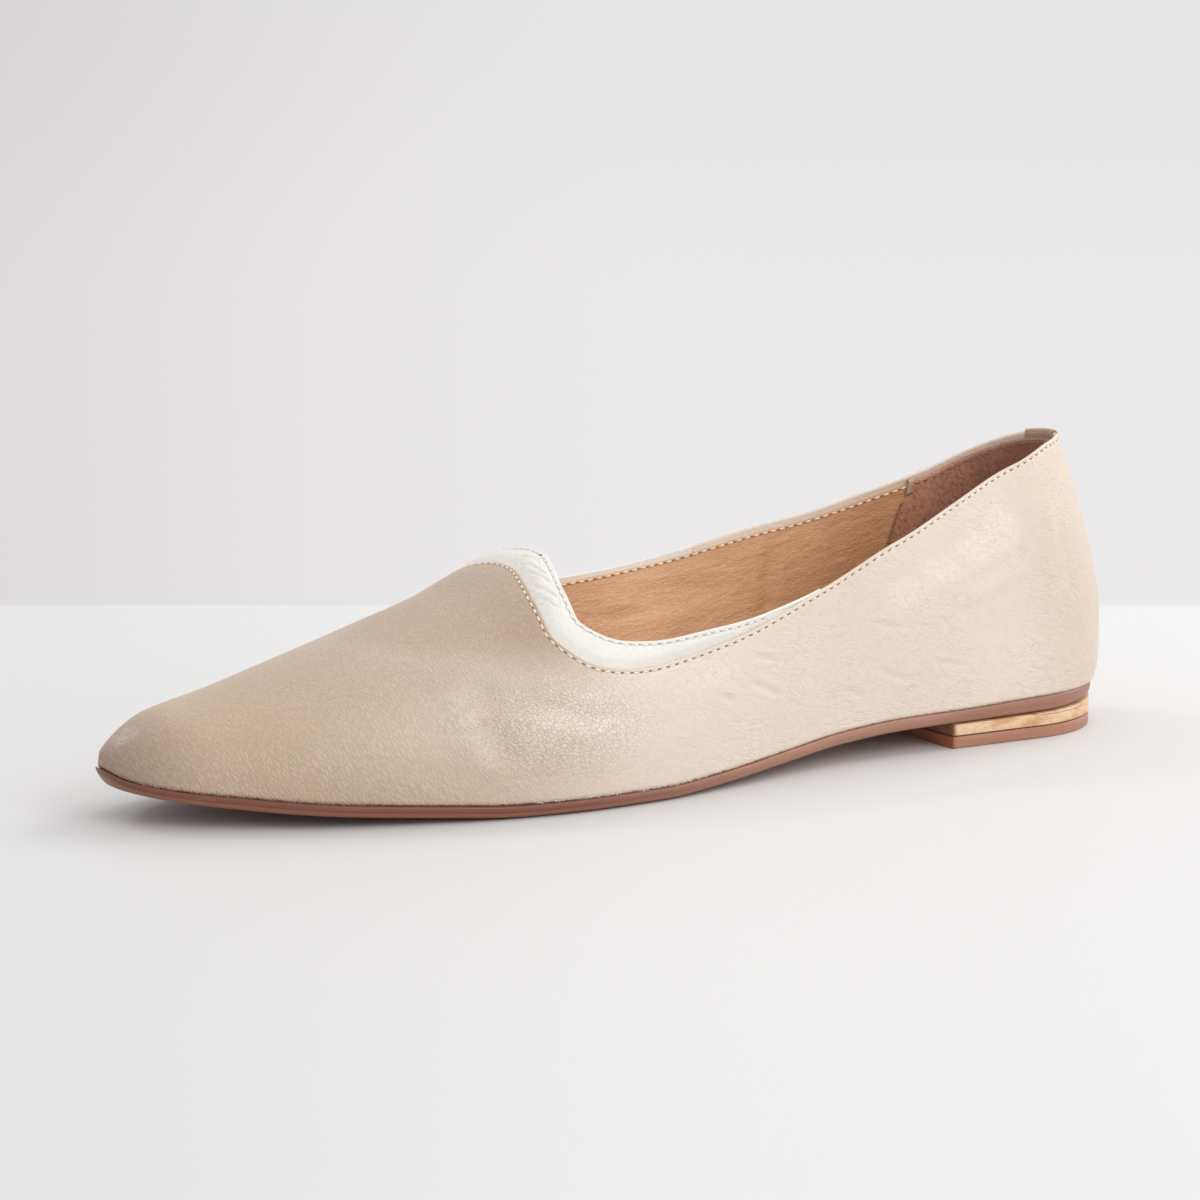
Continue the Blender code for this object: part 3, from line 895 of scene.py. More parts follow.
def tan_lining(colour):
    """Smooth tan leather, softly wrinkled along the foot, with painted shade in its soft folds and furrows
    and towards the heel.
    """
    material, n, shader = new_material("tan_smooth", {"Roughness": 0.55})
    spot = n.place()
    height = grain(n, spot, "lining")
    creases = n.noise(n.stretch(spot, (120.0, 120.0, 380.0), (0.0, 0.25, 0.0)), 1.0, 3.0, 0.6)
    lines = wrinkles(n, n.stretch(spot, (70.0, 90.0, 260.0), (0.0, 0.3, 0.0)), 0.05)
    base = drifting(n, spot, 45.0, shade(colour, 0.93, 0.90, 0.86), shade(colour, 1.06))
    # Darker in the hollows of the soft folds and in the grain's furrows: painted shade.
    crease_shade = n.times(n.step(creases, 0.5, 0.3), 0.3)
    creased = n.mix(crease_shade, base, shade(colour, 0.78, 0.68, 0.6))
    furrow = n.times(n.step(height, 0.5, 0.1), 0.3)
    furrow_shaded = n.mix(furrow, creased, LINING_FURROW_SHADE, "MULTIPLY")
    shaded = n.mix(n.attribute("deep"), furrow_shaded, LINING_SHADE, "MULTIPLY")
    folded = n.bump(creases, 0.0014, 0.45)
    lined = n.bump(n.math("SUBTRACT", 1.0, lines), 0.0002, 0.2, folded)
    n.connect(shader, {"Base Color": shaded, "Normal": n.bump(height, 0.0003, 0.3, lined)})
    return material


def counter_suede(colour):
    """Brushed suede: a coarse mottled nap, lighter near its top and front, partly where it is rubbed and
    partly as painted light where light falls into the shoe.
    """
    constants = {"Roughness": 0.95, "Sheen Weight": 0.35, "Sheen Roughness": 0.5}
    material, n, shader = new_material("counter_suede", constants)
    spot = n.place()
    base = drifting(n, spot, 90.0, shade(colour, 0.7), shade(colour, 1.25))
    nap = n.noise(n.stretch(spot, (1.0, 1.0, 0.6), (0.0, 0.6, 0.0)), 1300.0, 4.0, 0.65)
    fuzzy = n.mix(n.step(nap, 0.3, 0.65), shade(colour, 0.68), base)
    # Lighter nap near the top and front: partly rubbed, partly painted light.
    worn = n.times(n.attribute("rub"), n.step(nap, 0.3, 0.6))
    rubbed_and_lit = n.mix(worn, fuzzy, shade(colour, 1.4, 1.55, 1.55))
    n.connect(shader, {"Base Color": rubbed_and_lit, "Normal": n.bump(nap, 0.0010, 0.7)})
    return material


def brown_sole(colour):
    """Painted sole edge: dark above its middle line along the forefoot and lighter below it, a painted
    reflection of the floor on the lower bevel; paler and brushed towards the heel.
    """
    material, n, shader = new_material("brown_edge", {"Roughness": 0.4})
    spot = n.place()
    level = n.attribute("level")
    back = n.attribute("back")
    # Lighter below the edge's middle line along the forefoot: a painted reflection of the floor.
    front = n.mix(n.step(level, 0.42, 0.56), shade(colour, 1.15), shade(colour, 0.68, 0.6, 0.52))
    tone = n.mix(back, front, shade(colour, 1.55, 2.05, 2.5))
    brush = n.noise(n.stretch(spot, (60.0, 60.0, 1500.0)), 1.0, 3.0, 0.6)
    strokes = n.step(brush, 0.35, 0.7)
    faint = n.times(strokes, n.math("MULTIPLY_ADD", back, 0.3, 0.08))
    brushed = n.mix(faint, tone, shade(colour, 1.75, 2.25, 2.7))
    lower = n.times(n.step(level, 0.04, 0.16, 1.0, 0.0), back)
    painted = n.mix(lower, brushed, shade(colour, 1.8, 1.7, 1.4))
    lift = n.mix(strokes, shade(colour, 1.55, 1.85, 2.15), shade(colour, 1.75, 2.2, 2.65))
    worn = n.mix(n.attribute("lift"), painted, lift)
    inner = n.mix(n.attribute("breast"), worn, shade(colour, 1.6, 1.35, 1.0))
    n.connect(shader, {"Base Color": inner, "Normal": n.bump(brush, 0.0003, 0.2)})
    return material


def tan_heel(colour):
    """Pale fibre board with brown mottling, darker on its breast as painted shade."""
    material, n, shader = new_material("tan_board", {"Roughness": 0.6})
    spot = n.place()
    fibre = n.noise(n.stretch(spot, (420.0, 420.0, 1100.0)), 1.0, 4.0, 0.65)
    blotch = n.noise(n.stretch(spot, (150.0, 150.0, 420.0)), 1.0, 3.0, 0.6)
    tone = n.mix(n.step(blotch, 0.42, 0.68), shade(colour, 1.1, 1.14, 1.2), shade(colour, 0.86, 0.72, 0.58))
    streaks = n.times(n.step(fibre, 0.5, 0.75), 0.5)
    streaked = n.mix(streaks, tone, shade(colour, 0.72, 0.58, 0.46))
    # Darker front face of the heel, turned from the light: painted shade.
    breast = n.mix(n.attribute("breast"), streaked, shade(colour, 0.34, 0.24, 0.18))
    n.connect(shader, {"Base Color": breast, "Normal": n.bump(fibre, 0.0004, 0.5)})
    return material


def sewing_thread(name, colour):
    """Twisted thread, darker between its strands: painted shade."""
    material, n, shader = new_material(name, {"Roughness": 0.6})
    # Darker between the strands: painted shade.
    strand_shade = n.step(n.noise(n.place(), 2600.0, 1.0), 0.3, 0.7)
    n.connect(shader, {"Base Color": n.mix(strand_shade, shade(colour, 0.82, 0.78, 0.72), shade(colour, 1.08))})
    return material


def plain(name, colour, roughness):
    return new_material(name, {"Roughness": roughness, "Base Color": (*colour, 1.0)})[0]


UPPER_LINES = 720
UPPER_ROWS = 92
UPPER_TUCK = (2.6, 1.6, 0.7)
EDGE_DEPTHS = (0.25, 0.55, 0.85, 1.1, 1.35, 1.6, 1.85, 2.1, 2.4, 2.8, 3.3, 4.0, 5.0)
ROLL_STEPS = 8
CHANNEL_WIDTH = 0.45
CHANNEL_DEPTH = 0.16

# How the upper turns in under the last, from its foot: way in, and way down.
UPPER_TURN = ((0.0, 0.7), (0.5, WALL_START + 0.1), (3.0, WALL_START + 0.15))

# Patches of the upper that shine, with a gloss and a painted highlight in their colour: centre, reach and
# strength.
SHEEN = (
    ((69.0, -32.5, 25.5), (5.0, 9.0, 4.0), 0.5),
    ((72.0, -34.0, 21.5), (4.0, 9.0, 4.5), 0.55),
    ((76.0, -36.0, 16.5), (4.0, 9.0, 4.5), 0.45),
    ((106.0, -39.5, 19.5), (29.0, 9.0, 9.0), 0.52),
    ((124.0, -38.0, 28.0), (22.0, 9.0, 5.5), 0.48),
    ((198.0, -26.9, 40.5), (10.0, 9.0, 4.5), 0.6),
    ((208.5, -25.6, 45.2), (9.0, 9.0, 4.0), 0.9),
    ((218.5, -23.8, 48.8), (8.0, 9.0, 4.5), 0.9),
    ((228.0, -21.9, 53.0), (7.0, 9.0, 6.0), 0.8),
    ((6.0, 2.0, 20.0), (4.5, 4.0, 3.5), 0.35),
)
SHEEN_LEAST = 0.12
SHEEN_EDGE = 1.4

# The ball of the foot, seen from the side: station, height, and reach along and up.
BALL = (94.0, 20.0)
BALL_REACH = (32.0, 17.0)
BALL_EDGE = 1.25

# Where the upper's tones, with their painted shade, and its grain fade in: the stations or heights where
# each starts and is full.
WARM_SIDE = (117.0, 25.0)
WARM_SLANT = 22.0
WARM_SLANT_HEIGHT = 20.0
# The crown's darker tone is painted shade.
WARM_CROWN = (28.0, 40.0)
WARM_CROWN_MOST = 0.95
WARM_HEEL = (222.0, 260.0)
WARM_HEEL_MOST = 0.3
VAMP_BACK = (125.0, 100.0)
GRAIN_SIDE = (112.0, 72.0)
GRAIN_CROWN = (30.0, 40.0)
GRAIN_BACK = (125.0, 105.0)
TOE_TIP = (22.0, 0.0)
# The toe's darker tone along the crown is painted shade.
TOE_CROWN = (22.0, 34.0)
TOE_CROWN_MOST = 0.25


def size_mm(name):
    """A size of the sewn details, in millimetres."""
    return getattr(bpy.context.scene.flat_shoe_sizes, name) / MM


def colours():
    return bpy.context.scene.flat_shoe_colours


def gloss_and_highlight_mask(points):
    """How much the worn leather shines, from patch to patch: its gloss, and the painted highlight in its
    colour.
    """
    shine = np.full(len(points), SHEEN_LEAST)
    for centre, reach, strength in SHEEN:
        away = np.linalg.norm((points - centre) / np.array(reach), axis=1)
        shine = np.maximum(shine, strength * ease(SHEEN_EDGE - away))
    return shine


def bend_mask(points):
    """1 where the ball of the foot bends the leather."""
    along, up = (points[:, [0, 2]] - BALL).T / np.array(BALL_REACH)[:, None]
    return ease(BALL_EDGE - np.hypot(along, up))


def warm_and_shade_mask(points):
    """1 over the toe and the vamp, fading slowly along the sides, a little round the heel: a warmer, darker
    tone, partly the leather's own and partly painted shade, along the crown painted shade.
    """
    x, _, z = points.T
    slant = WARM_SLANT * (1 - np.clip(z / WARM_SLANT_HEIGHT, 0, 1))
    side = fade(x - slant, *WARM_SIDE)
    crown = WARM_CROWN_MOST * fade(z, *WARM_CROWN) * fade(x, *VAMP_BACK)
    heel = WARM_HEEL_MOST * fade(x, *WARM_HEEL)
    return np.maximum(np.maximum(side, crown), heel)


def grain_mask(points):
    """Strength of the streaked grain: full over the toe and the vamp, none along the sides."""
    x, _, z = points.T
    return np.maximum(fade(x, *GRAIN_SIDE), fade(z, *GRAIN_CROWN) * fade(x, *GRAIN_BACK))


def toe_burnish_and_shade_mask(points):
    """1 at the tip of the toe, a little along the crown of the vamp: a darker tone, at the tip partly
    burnish and partly painted shade, along the crown painted shade.
    """
    x, _, z = points.T
    crown = TOE_CROWN_MOST * fade(z, *TOE_CROWN) * fade(x, *VAMP_BACK)
    return np.maximum(fade(x, *TOE_TIP), crown)


def full_mask(points):
    return np.ones(len(points))


UPPER_MASKS = {
    "bend": bend_mask,
    "warm": warm_and_shade_mask,
    "grain": grain_mask,
    "toe": toe_burnish_and_shade_mask,
    "sheen": gloss_and_highlight_mask,
}


def all_round(count):
    """Wall lines right round the shoe, the last on the first."""
    return Wall(np.linspace(0, 2, count + 1))


def seam_channel(depth, seam):
    """Depth of the soft channel that a row of stitches pulls into the leather."""
    return CHANNEL_DEPTH * np.exp(-(((depth - seam) / CHANNEL_WIDTH) ** 2))


def build_upper():
    wall = all_round(UPPER_LINES)
    radius = size_mm("fold")
    edge = wall.trim
    rows = [wall.offset(wall.share(edge + radius + deep), -2 * radius) for deep in UPPER_TUCK]
    rows += wall.roll(edge, radius, 0.0, ROLL_STEPS)[::-1]
    shares = [(wall.share(edge + radius + deep), radius + deep) for deep in EDGE_DEPTHS]
    lowest = shares[-1][0]
    for row in range(1, UPPER_ROWS + 1):
        shares.append((lowest * (1 - row / UPPER_ROWS), np.inf))
    for share, depth in shares:
        points, normals, _ = wall.surface(share)
        relief = fold_relief(points, normals, UPPER_FOLDS) - seam_channel(depth, size_mm("seam_depth"))
        rows.append(points + normals * relief[:, None])
    foot = rows[-1]
    _, normals, _ = wall.surface(0.0)
    level = normals * (1, 1, 0)
    for inward, down in UPPER_TURN:
        rows.append(foot - level * inward - (0, 0, down))
    material = nude_leather(colours().nude)
    finish_piece("upper_leather", grid_sheet(rows, True), material, ["upper"], UPPER_MASKS)


TRIM_LINES = 1100
TRIM_ROWS = 56
TRIM_TUCK = (3.0, 1.5, 0.5)
TRIM_UNDER = 2.2
TRIM_LEAST = 0.5
TRIM_SWELL = 0.3
TRIM_SWELL_WIDTH = 4.0
TRIM_LIFT = 0.75
TRIM_LIFT_FEET = (75.0, 35.0)
TRIM_LIFT_SHARES = (0.45, 1.0)
TRIM_RISE = 0.7
TRIM_RISE_RUN = 3.0
TRIM_SEARCH = 4001
TRIM_END = 0.02
THROAT_HEIGHTS = (41.0, 46.0)


def trim_lines(count):
    """Wall lines along the collar trim only, from its lateral end to its medial end."""
    at = np.linspace(0, 2, TRIM_SEARCH)
    wide = at[curve(BAND, "foot", "width", wall_lines(at)["foot"]) > TRIM_END]
    return Wall(np.linspace(wide[0], wide[-1], count + 1))


def trim_height(depth, wall):
    """Height of the trim's surface against the upper's: low under the folded edge, full above it."""
    width = np.maximum(wall.trim, TRIM_LEAST)
    share = np.clip(depth / width, 0, 1)
    swell = TRIM_SWELL * np.sin(np.pi * share) * ease(width / TRIM_SWELL_WIDTH)
    lift = TRIM_LIFT * fade(wall.lines["foot"], *TRIM_LIFT_FEET) * (1 - fade(share, *TRIM_LIFT_SHARES))
    sunk = size_mm("trim_drop") * (1 - TRIM_RISE * ease((wall.trim - depth) / TRIM_RISE_RUN))
    return swell + lift - sunk - seam_channel(depth, size_mm("trim_seam_depth"))


def throat_mask(points):
    """1 on the trim's high part round the throat."""
    return fade(points[:, 2], *THROAT_HEIGHTS)


def build_trim():
    wall = trim_lines(TRIM_LINES)
    radius = size_mm("trim_fold")
    width = np.maximum(wall.trim, TRIM_LEAST)
    level = trim_height(radius, wall)
    rows = [wall.offset(wall.share(radius + deep), level - 2 * radius) for deep in TRIM_TUCK]
    rows += wall.roll(0.0, radius, level[:, None], ROLL_STEPS)[::-1]
    for row in range(1, TRIM_ROWS + 1):
        depth = radius + (width + TRIM_UNDER) * row / TRIM_ROWS
        points, normals, _ = wall.surface(wall.share(depth))
        relief = fold_relief(points, normals, TRIM_FOLDS) + trim_height(depth, wall)
        rows.append(points + normals * relief[:, None])
    material = cream_leather(colours().cream)
    masks = {"throat": throat_mask}
    finish_piece("trim_leather", grid_sheet(rows, False), material, ["collar_trim"], masks)


LINING_LINES = 480
LINING_ROWS = 46
LINING_OUT = -2.0
LINING_TOP = 2.1
LINING_RAISED = 0.5
LINING_RAISED_WIDTH = 3.0
LINING_LIP = 0.15
LINING_TUCK = (0.15, 1.0)
LINING_DEEP = (150.0, 220.0)

# Creases of the lining at the medial side: half width, depth and points.
LINING_FOLDS = [
    (1.7, 0.9, [(192.0, 25.5, 48.0), (190.3, 24.5, 39.4), (188.4, 23.2, 30.6), (186.5, 22.5, 24.0)]),
    (2.2, 0.35, [(148.0, 30.0, 33.0), (163.0, 27.5, 35.5), (180.0, 25.5, 37.0)]),
    (1.6, 0.30, [(140.0, 30.0, 30.0), (156.0, 28.0, 31.0), (172.0, 26.0, 32.5)]),
]


def lining_depth(wall):
    """How far the lining's top edge lies below the topline."""
    return LINING_TOP - LINING_RAISED * ease(wall.trim / LINING_RAISED_WIDTH)


def deep_mask(points):
    """1 towards the heel, where little light reaches the lining."""
    return fade(points[:, 0], *LINING_DEEP)


def build_lining():
    wall = all_round(LINING_LINES)
    depth = lining_depth(wall)
    top = wall.share(depth)
    rows = []
    for row in range(LINING_ROWS + 1):
        points, normals, _ = wall.surface(top * row / LINING_ROWS)
        relief = fold_relief(points, normals, LINING_FOLDS)
        rows.append(points + normals * (LINING_OUT - relief)[:, None])
    edge = wall.share(depth - LINING_LIP)
    rows += [wall.offset(edge, LINING_OUT + out) for out in LINING_TUCK]
    material = tan_lining(colours().lining)
    finish_piece("lining", grid_sheet(rows, True), material, masks={"deep": deep_mask})


EDGE_SEARCH = 801
SUEDE_OUT = -2.4
SUEDE_FROM = 229.0
SUEDE_SLANT = 0.028
SUEDE_SEARCH = (0.1, 0.5)
COUNTER_LINES = 160
COUNTER_PRESSED = 0.99
COUNTER_PRESSED_OUT = LINING_OUT + 0.1
COUNTER_RUB_AND_LIGHT_BACK = (252.0, 226.0)
COUNTER_RUB_AND_LIGHT_UP = (38.0, 58.0)
TAB_LINES = 8
TAB_AHEAD = 0.002
TAB_BEHIND = 0.0022
TAB_THICK = 0.35

# Top edge of the suede, turned away from the foot: depth below the topline and way out of the last.
COUNTER_BRIM = ((LINING_TOP - 0.25, SUEDE_OUT + 0.05), (LINING_TOP - 0.4, -2.0), (LINING_TOP - 0.4, -1.0))

# The tab over the suede's medial front edge: depth below the topline and way out of the last.
TAB_PROFILE = (
    (0.7, -1.2),
    (0.6, -1.9),
    (0.9, -2.6),
    (1.5, -2.75),
    (2.4, -2.75),
    (3.2, -2.75),
    (3.9, -2.75),
    (4.4, -2.75),
)


def suede_reach():
    """Wall line where the suede of the counter lining starts at the topline."""
    at = np.linspace(*SUEDE_SEARCH, EDGE_SEARCH)
    x = Wall(-at).surface(1.0)[0][:, 0]
    return np.interp(-SUEDE_FROM, -x, at)


SUEDE_REACH = suede_reach()


def suede_edge(row):
    """Wall line of the suede's front edge, from 0 at the sock to 1 at the topline."""
    return SUEDE_REACH + SUEDE_SLANT * (1 - row)


def rub_and_light_mask(points):
    """1 at the top and front of the suede, where the foot rubs it and where light falls in: partly wear,
    partly painted light.
    """
    return fade(points[:, 0], *COUNTER_RUB_AND_LIGHT_BACK) * fade(points[:, 2], *COUNTER_RUB_AND_LIGHT_UP)


def build_counter():
    """The suede counter lining, pressed down to the lining at its front edges."""
    reach = np.linspace(-1, 1, COUNTER_LINES + 1)
    brim = Wall(reach * SUEDE_REACH)
    top = brim.share(LINING_TOP)
    out = np.where(np.abs(reach) > COUNTER_PRESSED, COUNTER_PRESSED_OUT, SUEDE_OUT)
    rows = []
    for row in np.linspace(0, 1, LINING_ROWS + 1):
        rows.append(Wall(reach * suede_edge(row)).offset(top * row, out))
    rows += [brim.offset(brim.share(deep), out) for deep, out in COUNTER_BRIM]
    material = counter_suede(colours().suede)
    finish_piece("counter_lining", grid_sheet(rows, False), material, masks={"rub": rub_and_light_mask})


def build_tab():
    """The pale tab over the suede's medial front edge."""
    tab = Wall(-np.linspace(SUEDE_REACH + TAB_AHEAD, SUEDE_REACH - TAB_BEHIND, TAB_LINES + 1))
    bm = grid_sheet([tab.offset(tab.share(deep), out) for deep, out in TAB_PROFILE], False)
    bmesh.ops.solidify(bm, geom=bm.faces[:], thickness=TAB_THICK * MM)
    nude = bpy.data.materials["nude_grain"]
    finish_piece("counter_tab", bm, nude, masks={"warm": full_mask})


def perimeter(inset, count, across=1.0):
    """Stations and sideways places round the sole's outline, from the heel by the lateral side."""
    share = (1 - np.cos(np.linspace(0, np.pi, count + 1))) / 2
    x = LENGTH - inset - (LENGTH - 2 * inset) * share
    near = axis(x) - across * half_width(x, LATERAL, inset)
    far = axis(x) + across * half_width(x, MEDIAL, inset)
    return np.concatenate([x, x[-2::-1]]), np.concatenate([near, far[-2::-1]])


# Profile of the sole, from the middle of its top over its edge to the middle of its underside:
# distance in from the outline, share of the half width, and share of the thickness.
SOLE_PROFILE = (
    (0.9, 0.0, 1.0),
    (0.9, 0.6, 1.0),
    (0.9, 1.0, 1.0),
    (0.35, 1.0, 0.99),
    (0.1, 1.0, 0.94),
    (0.0, 1.0, 0.84),
    (0.0, 1.0, 0.68),
    (0.0, 1.0, 0.53),
    (0.06, 1.0, 0.5),
    (0.10, 1.0, 0.47),
    (0.25, 1.0, 0.33),
    (0.5, 1.0, 0.2),
    (0.9, 1.0, 0.13),
    (1.8, 1.0, 0.07),
    (3.5, 1.0, 0.03),
    (6.0, 1.0, 0.0),
    (6.0, 0.6, 0.0),
    (6.0, 0.0, 0.0),
)
SOLE_LINES = 300
TOE_INSET_MOST = 1.0
TOE_BEVEL = 1.5
TOE_BEVEL_RUN = 12.0
PALE_EDGE = (85.0, 175.0)
PALE_LESS_EDGE = (203.0, 219.0)
PALE_LESS = 0.35


def sole_level(points):
    """Share of the sole's thickness at each point."""
    x = points[:, 0]
    return (points[:, 2] - sole_bottom(x)) / (feather(x) - sole_bottom(x))


def sole_back(points):
    """0 along the forefoot, rising to 1 at the arch and less at the heel."""
    x = points[:, 0]
    return fade(x, *PALE_EDGE) * (1 - PALE_LESS * fade(x, *PALE_LESS_EDGE))


def build_outsole():
    rows = []
    for inset, across, level in SOLE_PROFILE:
        x, y = perimeter(inset, SOLE_LINES, across)
        toe_inset = min(inset, TOE_INSET_MOST) + TOE_BEVEL * (1 - level)
        toe_x, toe_y = perimeter(toe_inset, SOLE_LINES, across)
        toe = ease(1 - x / TOE_BEVEL_RUN)
        x = x + (toe_x - x) * toe
        y = y + (toe_y - y) * toe
        low = sole_bottom(x)
        rows.append(np.stack([x, y, low + level * (feather(x) - low)], -1))
    material = brown_sole(colours().sole)
    masks = {"level": sole_level, "back": sole_back}
    finish_piece("sole", grid_sheet(rows, True), material, ["outsole"], masks)


# Profile of the sock, from its middle to its edge: distance in, share of the half width, and height
# above the feather line.
SOCK_PROFILE = ((2.6, 0.0, 2.3), (2.6, 0.5, 2.2), (2.6, 0.9, 2.2), (2.6, 1.0, 2.7), (2.2, 1.0, 3.6))
SOCK_LINES = 160


def build_insole():
    rows = []
    for inset, across, rise in SOCK_PROFILE:
        x, y = perimeter(inset, SOCK_LINES, across)
        rows.append(np.stack([x, y, feather(x) + rise], -1))
    finish_piece("sock", grid_sheet(rows, True), bpy.data.materials["tan_smooth"], ["insole"])


HEEL_LINES = 70
SHARP_ANGLE = math.radians(40)
BEVEL_STEPS = 3
TOP_PIECE_BEVEL = 0.35
STACK_BEVEL = 0.25
STACK_GAP = 0.1
WEDGE_BEVEL = 0.1
WEDGE_GAP = 0.05
BREAST_DEPTH = 0.4


def heel_outline(front):
    """Outline of a heel lift: round the heel back from its lateral to its medial front corner."""
    turn = np.linspace(0, np.pi / 2, HEEL_LINES + 1)
    x = front + (LENGTH - HEEL_INSET - front) * np.sin(turn)
    near = axis(x) - half_width(x, LATERAL, HEEL_INSET)
    far = axis(x) + half_width(x, MEDIAL, HEEL_INSET)
    return np.concatenate([x, x[-2::-1]]), np.concatenate([near, far[-2::-1]])


def heel_lift(front, low, high, bevel):
    """A lift of the heel between two heights, with rounded edges."""
    x, y = heel_outline(front)
    bm = bmesh.new()
    bmesh.ops.create_circle(bm, cap_ends=True, segments=len(x), radius=1.0)
    for vert, spot in zip(bm.verts, place(np.stack([x, y, low(x)], -1))):
        vert.co = spot
    made = bmesh.ops.extrude_face_region(bm, geom=bm.faces[:])
    raised = [item for item in made["geom"] if isinstance(item, bmesh.types.BMVert)]
    for vert in raised:
        vert.co.z = float(high(unplace(vert.co)[0])) * MM
    bmesh.ops.recalc_face_normals(bm, faces=bm.faces[:])
    bmesh.ops.bevel(
        bm,
        geom=[edge for edge in bm.edges if edge.calc_face_angle(0.0) > SHARP_ANGLE],
        offset=bevel * MM,
        segments=BEVEL_STEPS,
        profile=0.5,
        affect="EDGES",
        material=-1,
        clamp_overlap=True,
    )
    return bm


def at_height(height):
    """The same height at every station."""
    return lambda x: x * 0 + height


def wedge_thickness(x):
    """The thin wedge that levels the heel seat, thickest at the heel back."""
    share = np.clip((x - WEDGE_FRONT) / (LENGTH - WEDGE_FRONT), 0, 1)
    return WEDGE_LEAST + (WEDGE_MOST - WEDGE_LEAST) * share


def wedge_low(x):
    return sole_bottom(x) - wedge_thickness(x)


def wedge_high(x):
    return sole_bottom(x) - WEDGE_GAP


def stack_high(x):
    gap = np.where(x < WEDGE_FRONT, 0, wedge_thickness(x))
    return sole_bottom(x) - gap - STACK_GAP


def breast_mask(points):
    """1 on the flat front of the heel."""
    return (points[:, 0] < HEEL_BREAST + BREAST_DEPTH).astype(float)


def top_piece_level(points):
    """Share of the top piece's thickness at each point."""
    return points[:, 2] / TOP_PIECE_THICK


def build_heel():
    board = tan_heel(colours().stack)
    top = heel_lift(HEEL_BREAST, at_height(0.0), at_height(TOP_PIECE_THICK), TOP_PIECE_BEVEL)
    masks = {"level": top_piece_level, "back": full_mask, "lift": full_mask, "breast": breast_mask}
    brown = bpy.data.materials["brown_edge"]
    finish_piece("top_piece", top, brown, ["heel_top_piece"], masks)
    stack = heel_lift(HEEL_BREAST, at_height(TOP_PIECE_THICK + HEEL_JOINT), stack_high, STACK_BEVEL)
    finish_piece("stack", stack, board, ["heel_stack"], {"breast": breast_mask})
    wedge = heel_lift(WEDGE_FRONT, wedge_low, wedge_high, WEDGE_BEVEL)
    finish_piece("wedge", wedge, board, ["heel_wedge"])


STRIP_LATERAL = -3.4
STRIP_MEDIAL = 6.8
STRIP_OUTSIDE = 4.6
STRIP_INSIDE = 4.0
STRIP_START = 0.4
STRIP_OFF = 0.12
STRIP_THICK = 0.45
STRIP_LINES = 28
STRIP_INSIDE_ROWS = 8
STRIP_OUTSIDE_ROWS = 9
STRIP_DARK = 0.5
STRIP_SEARCH = (-0.2, 0.2)


def strip_lines(count):
    """Wall lines across the heel back, from the strip's medial edge to its lateral edge."""
    at = np.linspace(*STRIP_SEARCH, EDGE_SEARCH)
    y = Wall(at).surface(1.0)[0][:, 1]
    reach = np.interp([-STRIP_MEDIAL, -STRIP_LATERAL], -y, at)
    return Wall(np.linspace(*reach, count + 1))


def strip_tone(points):
    """How far the strip takes on the toe's darker tone."""
    return np.full(len(points), STRIP_DARK)


def build_back_strip():
    wall = strip_lines(STRIP_LINES)
    radius = size_mm("fold") + STRIP_OFF
    inside = np.linspace(STRIP_INSIDE, STRIP_START, STRIP_INSIDE_ROWS)
    outside = np.linspace(STRIP_START, STRIP_OUTSIDE, STRIP_OUTSIDE_ROWS)
    rows = [wall.offset(wall.share(radius + deep), STRIP_OFF - 2 * radius) for deep in inside]
    rows += wall.roll(-STRIP_OFF, radius, STRIP_OFF, ROLL_STEPS)[::-1]
    rows += [wall.offset(wall.share(radius + deep), STRIP_OFF) for deep in outside]
    bm = grid_sheet(rows, False)
    bmesh.ops.solidify(bm, geom=bm.faces[:], thickness=-STRIP_THICK * MM)
    masks = {"warm": full_mask, "toe": strip_tone}
    finish_piece("strip", bm, bpy.data.materials["nude_grain"], ["back_strip"], masks)


BEAD_BATCH = 40
LOOK_AHEAD = 0.3
STITCH_LINES = 1600
TRIM_STITCH_LINES = 900
STITCH_FLATNESS = 0.8
STITCH_RAISED = 0.1
STITCH_DETAIL = 8
SKIPPED_STITCH = 1.5
# Dark beads between the stitches: painted shade of the needle holes.
PRICK = (1.2, 0.5, 0.17)
PRICK_RAISED = 0.03
PRICK_DETAIL = 6
LINING_SEAM = 0.45
SUEDE_SEAM_IN = 0.3
TRIM_SEAM_ROOM = 1.2
THROAT_FEET = 85.0
THROAT_SEAM_IN = 0.1
COUNTER_SEAM = 0.6
COUNTER_SEAM_IN = 0.1
COUNTER_SEAM_ROWS = (0.15, 0.95, 200)

# The open needle hole in the trim's seam beside the throat, a dark bead of painted shade: its size, and its
# place along the trim.
NEEDLE_HOLE = (1.0, 1.0, 0.3)
NEEDLE_HOLE_AT = 0.41
NEEDLE_HOLE_RAISED = 0.1


def walk(points, normals, pitch):
    """Even steps along a line: centres, directions and normals."""
    run = np.concatenate([[0], np.cumsum(np.linalg.norm(np.diff(points, axis=0), axis=1))])
    at = np.arange(0.5, int(run[-1] / pitch)) * pitch
    centres = np.stack([np.interp(at, run, points[:, i]) for i in range(3)], -1)
    ahead = np.stack([np.interp(at + LOOK_AHEAD, run, points[:, i]) for i in range(3)], -1)
    outward = unit(np.stack([np.interp(at, run, normals[:, i]) for i in range(3)], -1))
    return centres, unit(ahead - centres), outward


def bead_matrix(centre, along, out, size):
    """Place of a flattened bead that lies along its direction on a surface: its length, width and height."""
    side = unit(np.cross(out, along))
    along = np.cross(side, out)
    long, wide, high = size
    axes = np.stack([side * wide / 2, out * high / 2, along * long / 2], -1) * MM
    spot = place(centre)
    return Matrix([[*axes[i], spot[i]] for i in range(3)] + [[0, 0, 0, 1]])


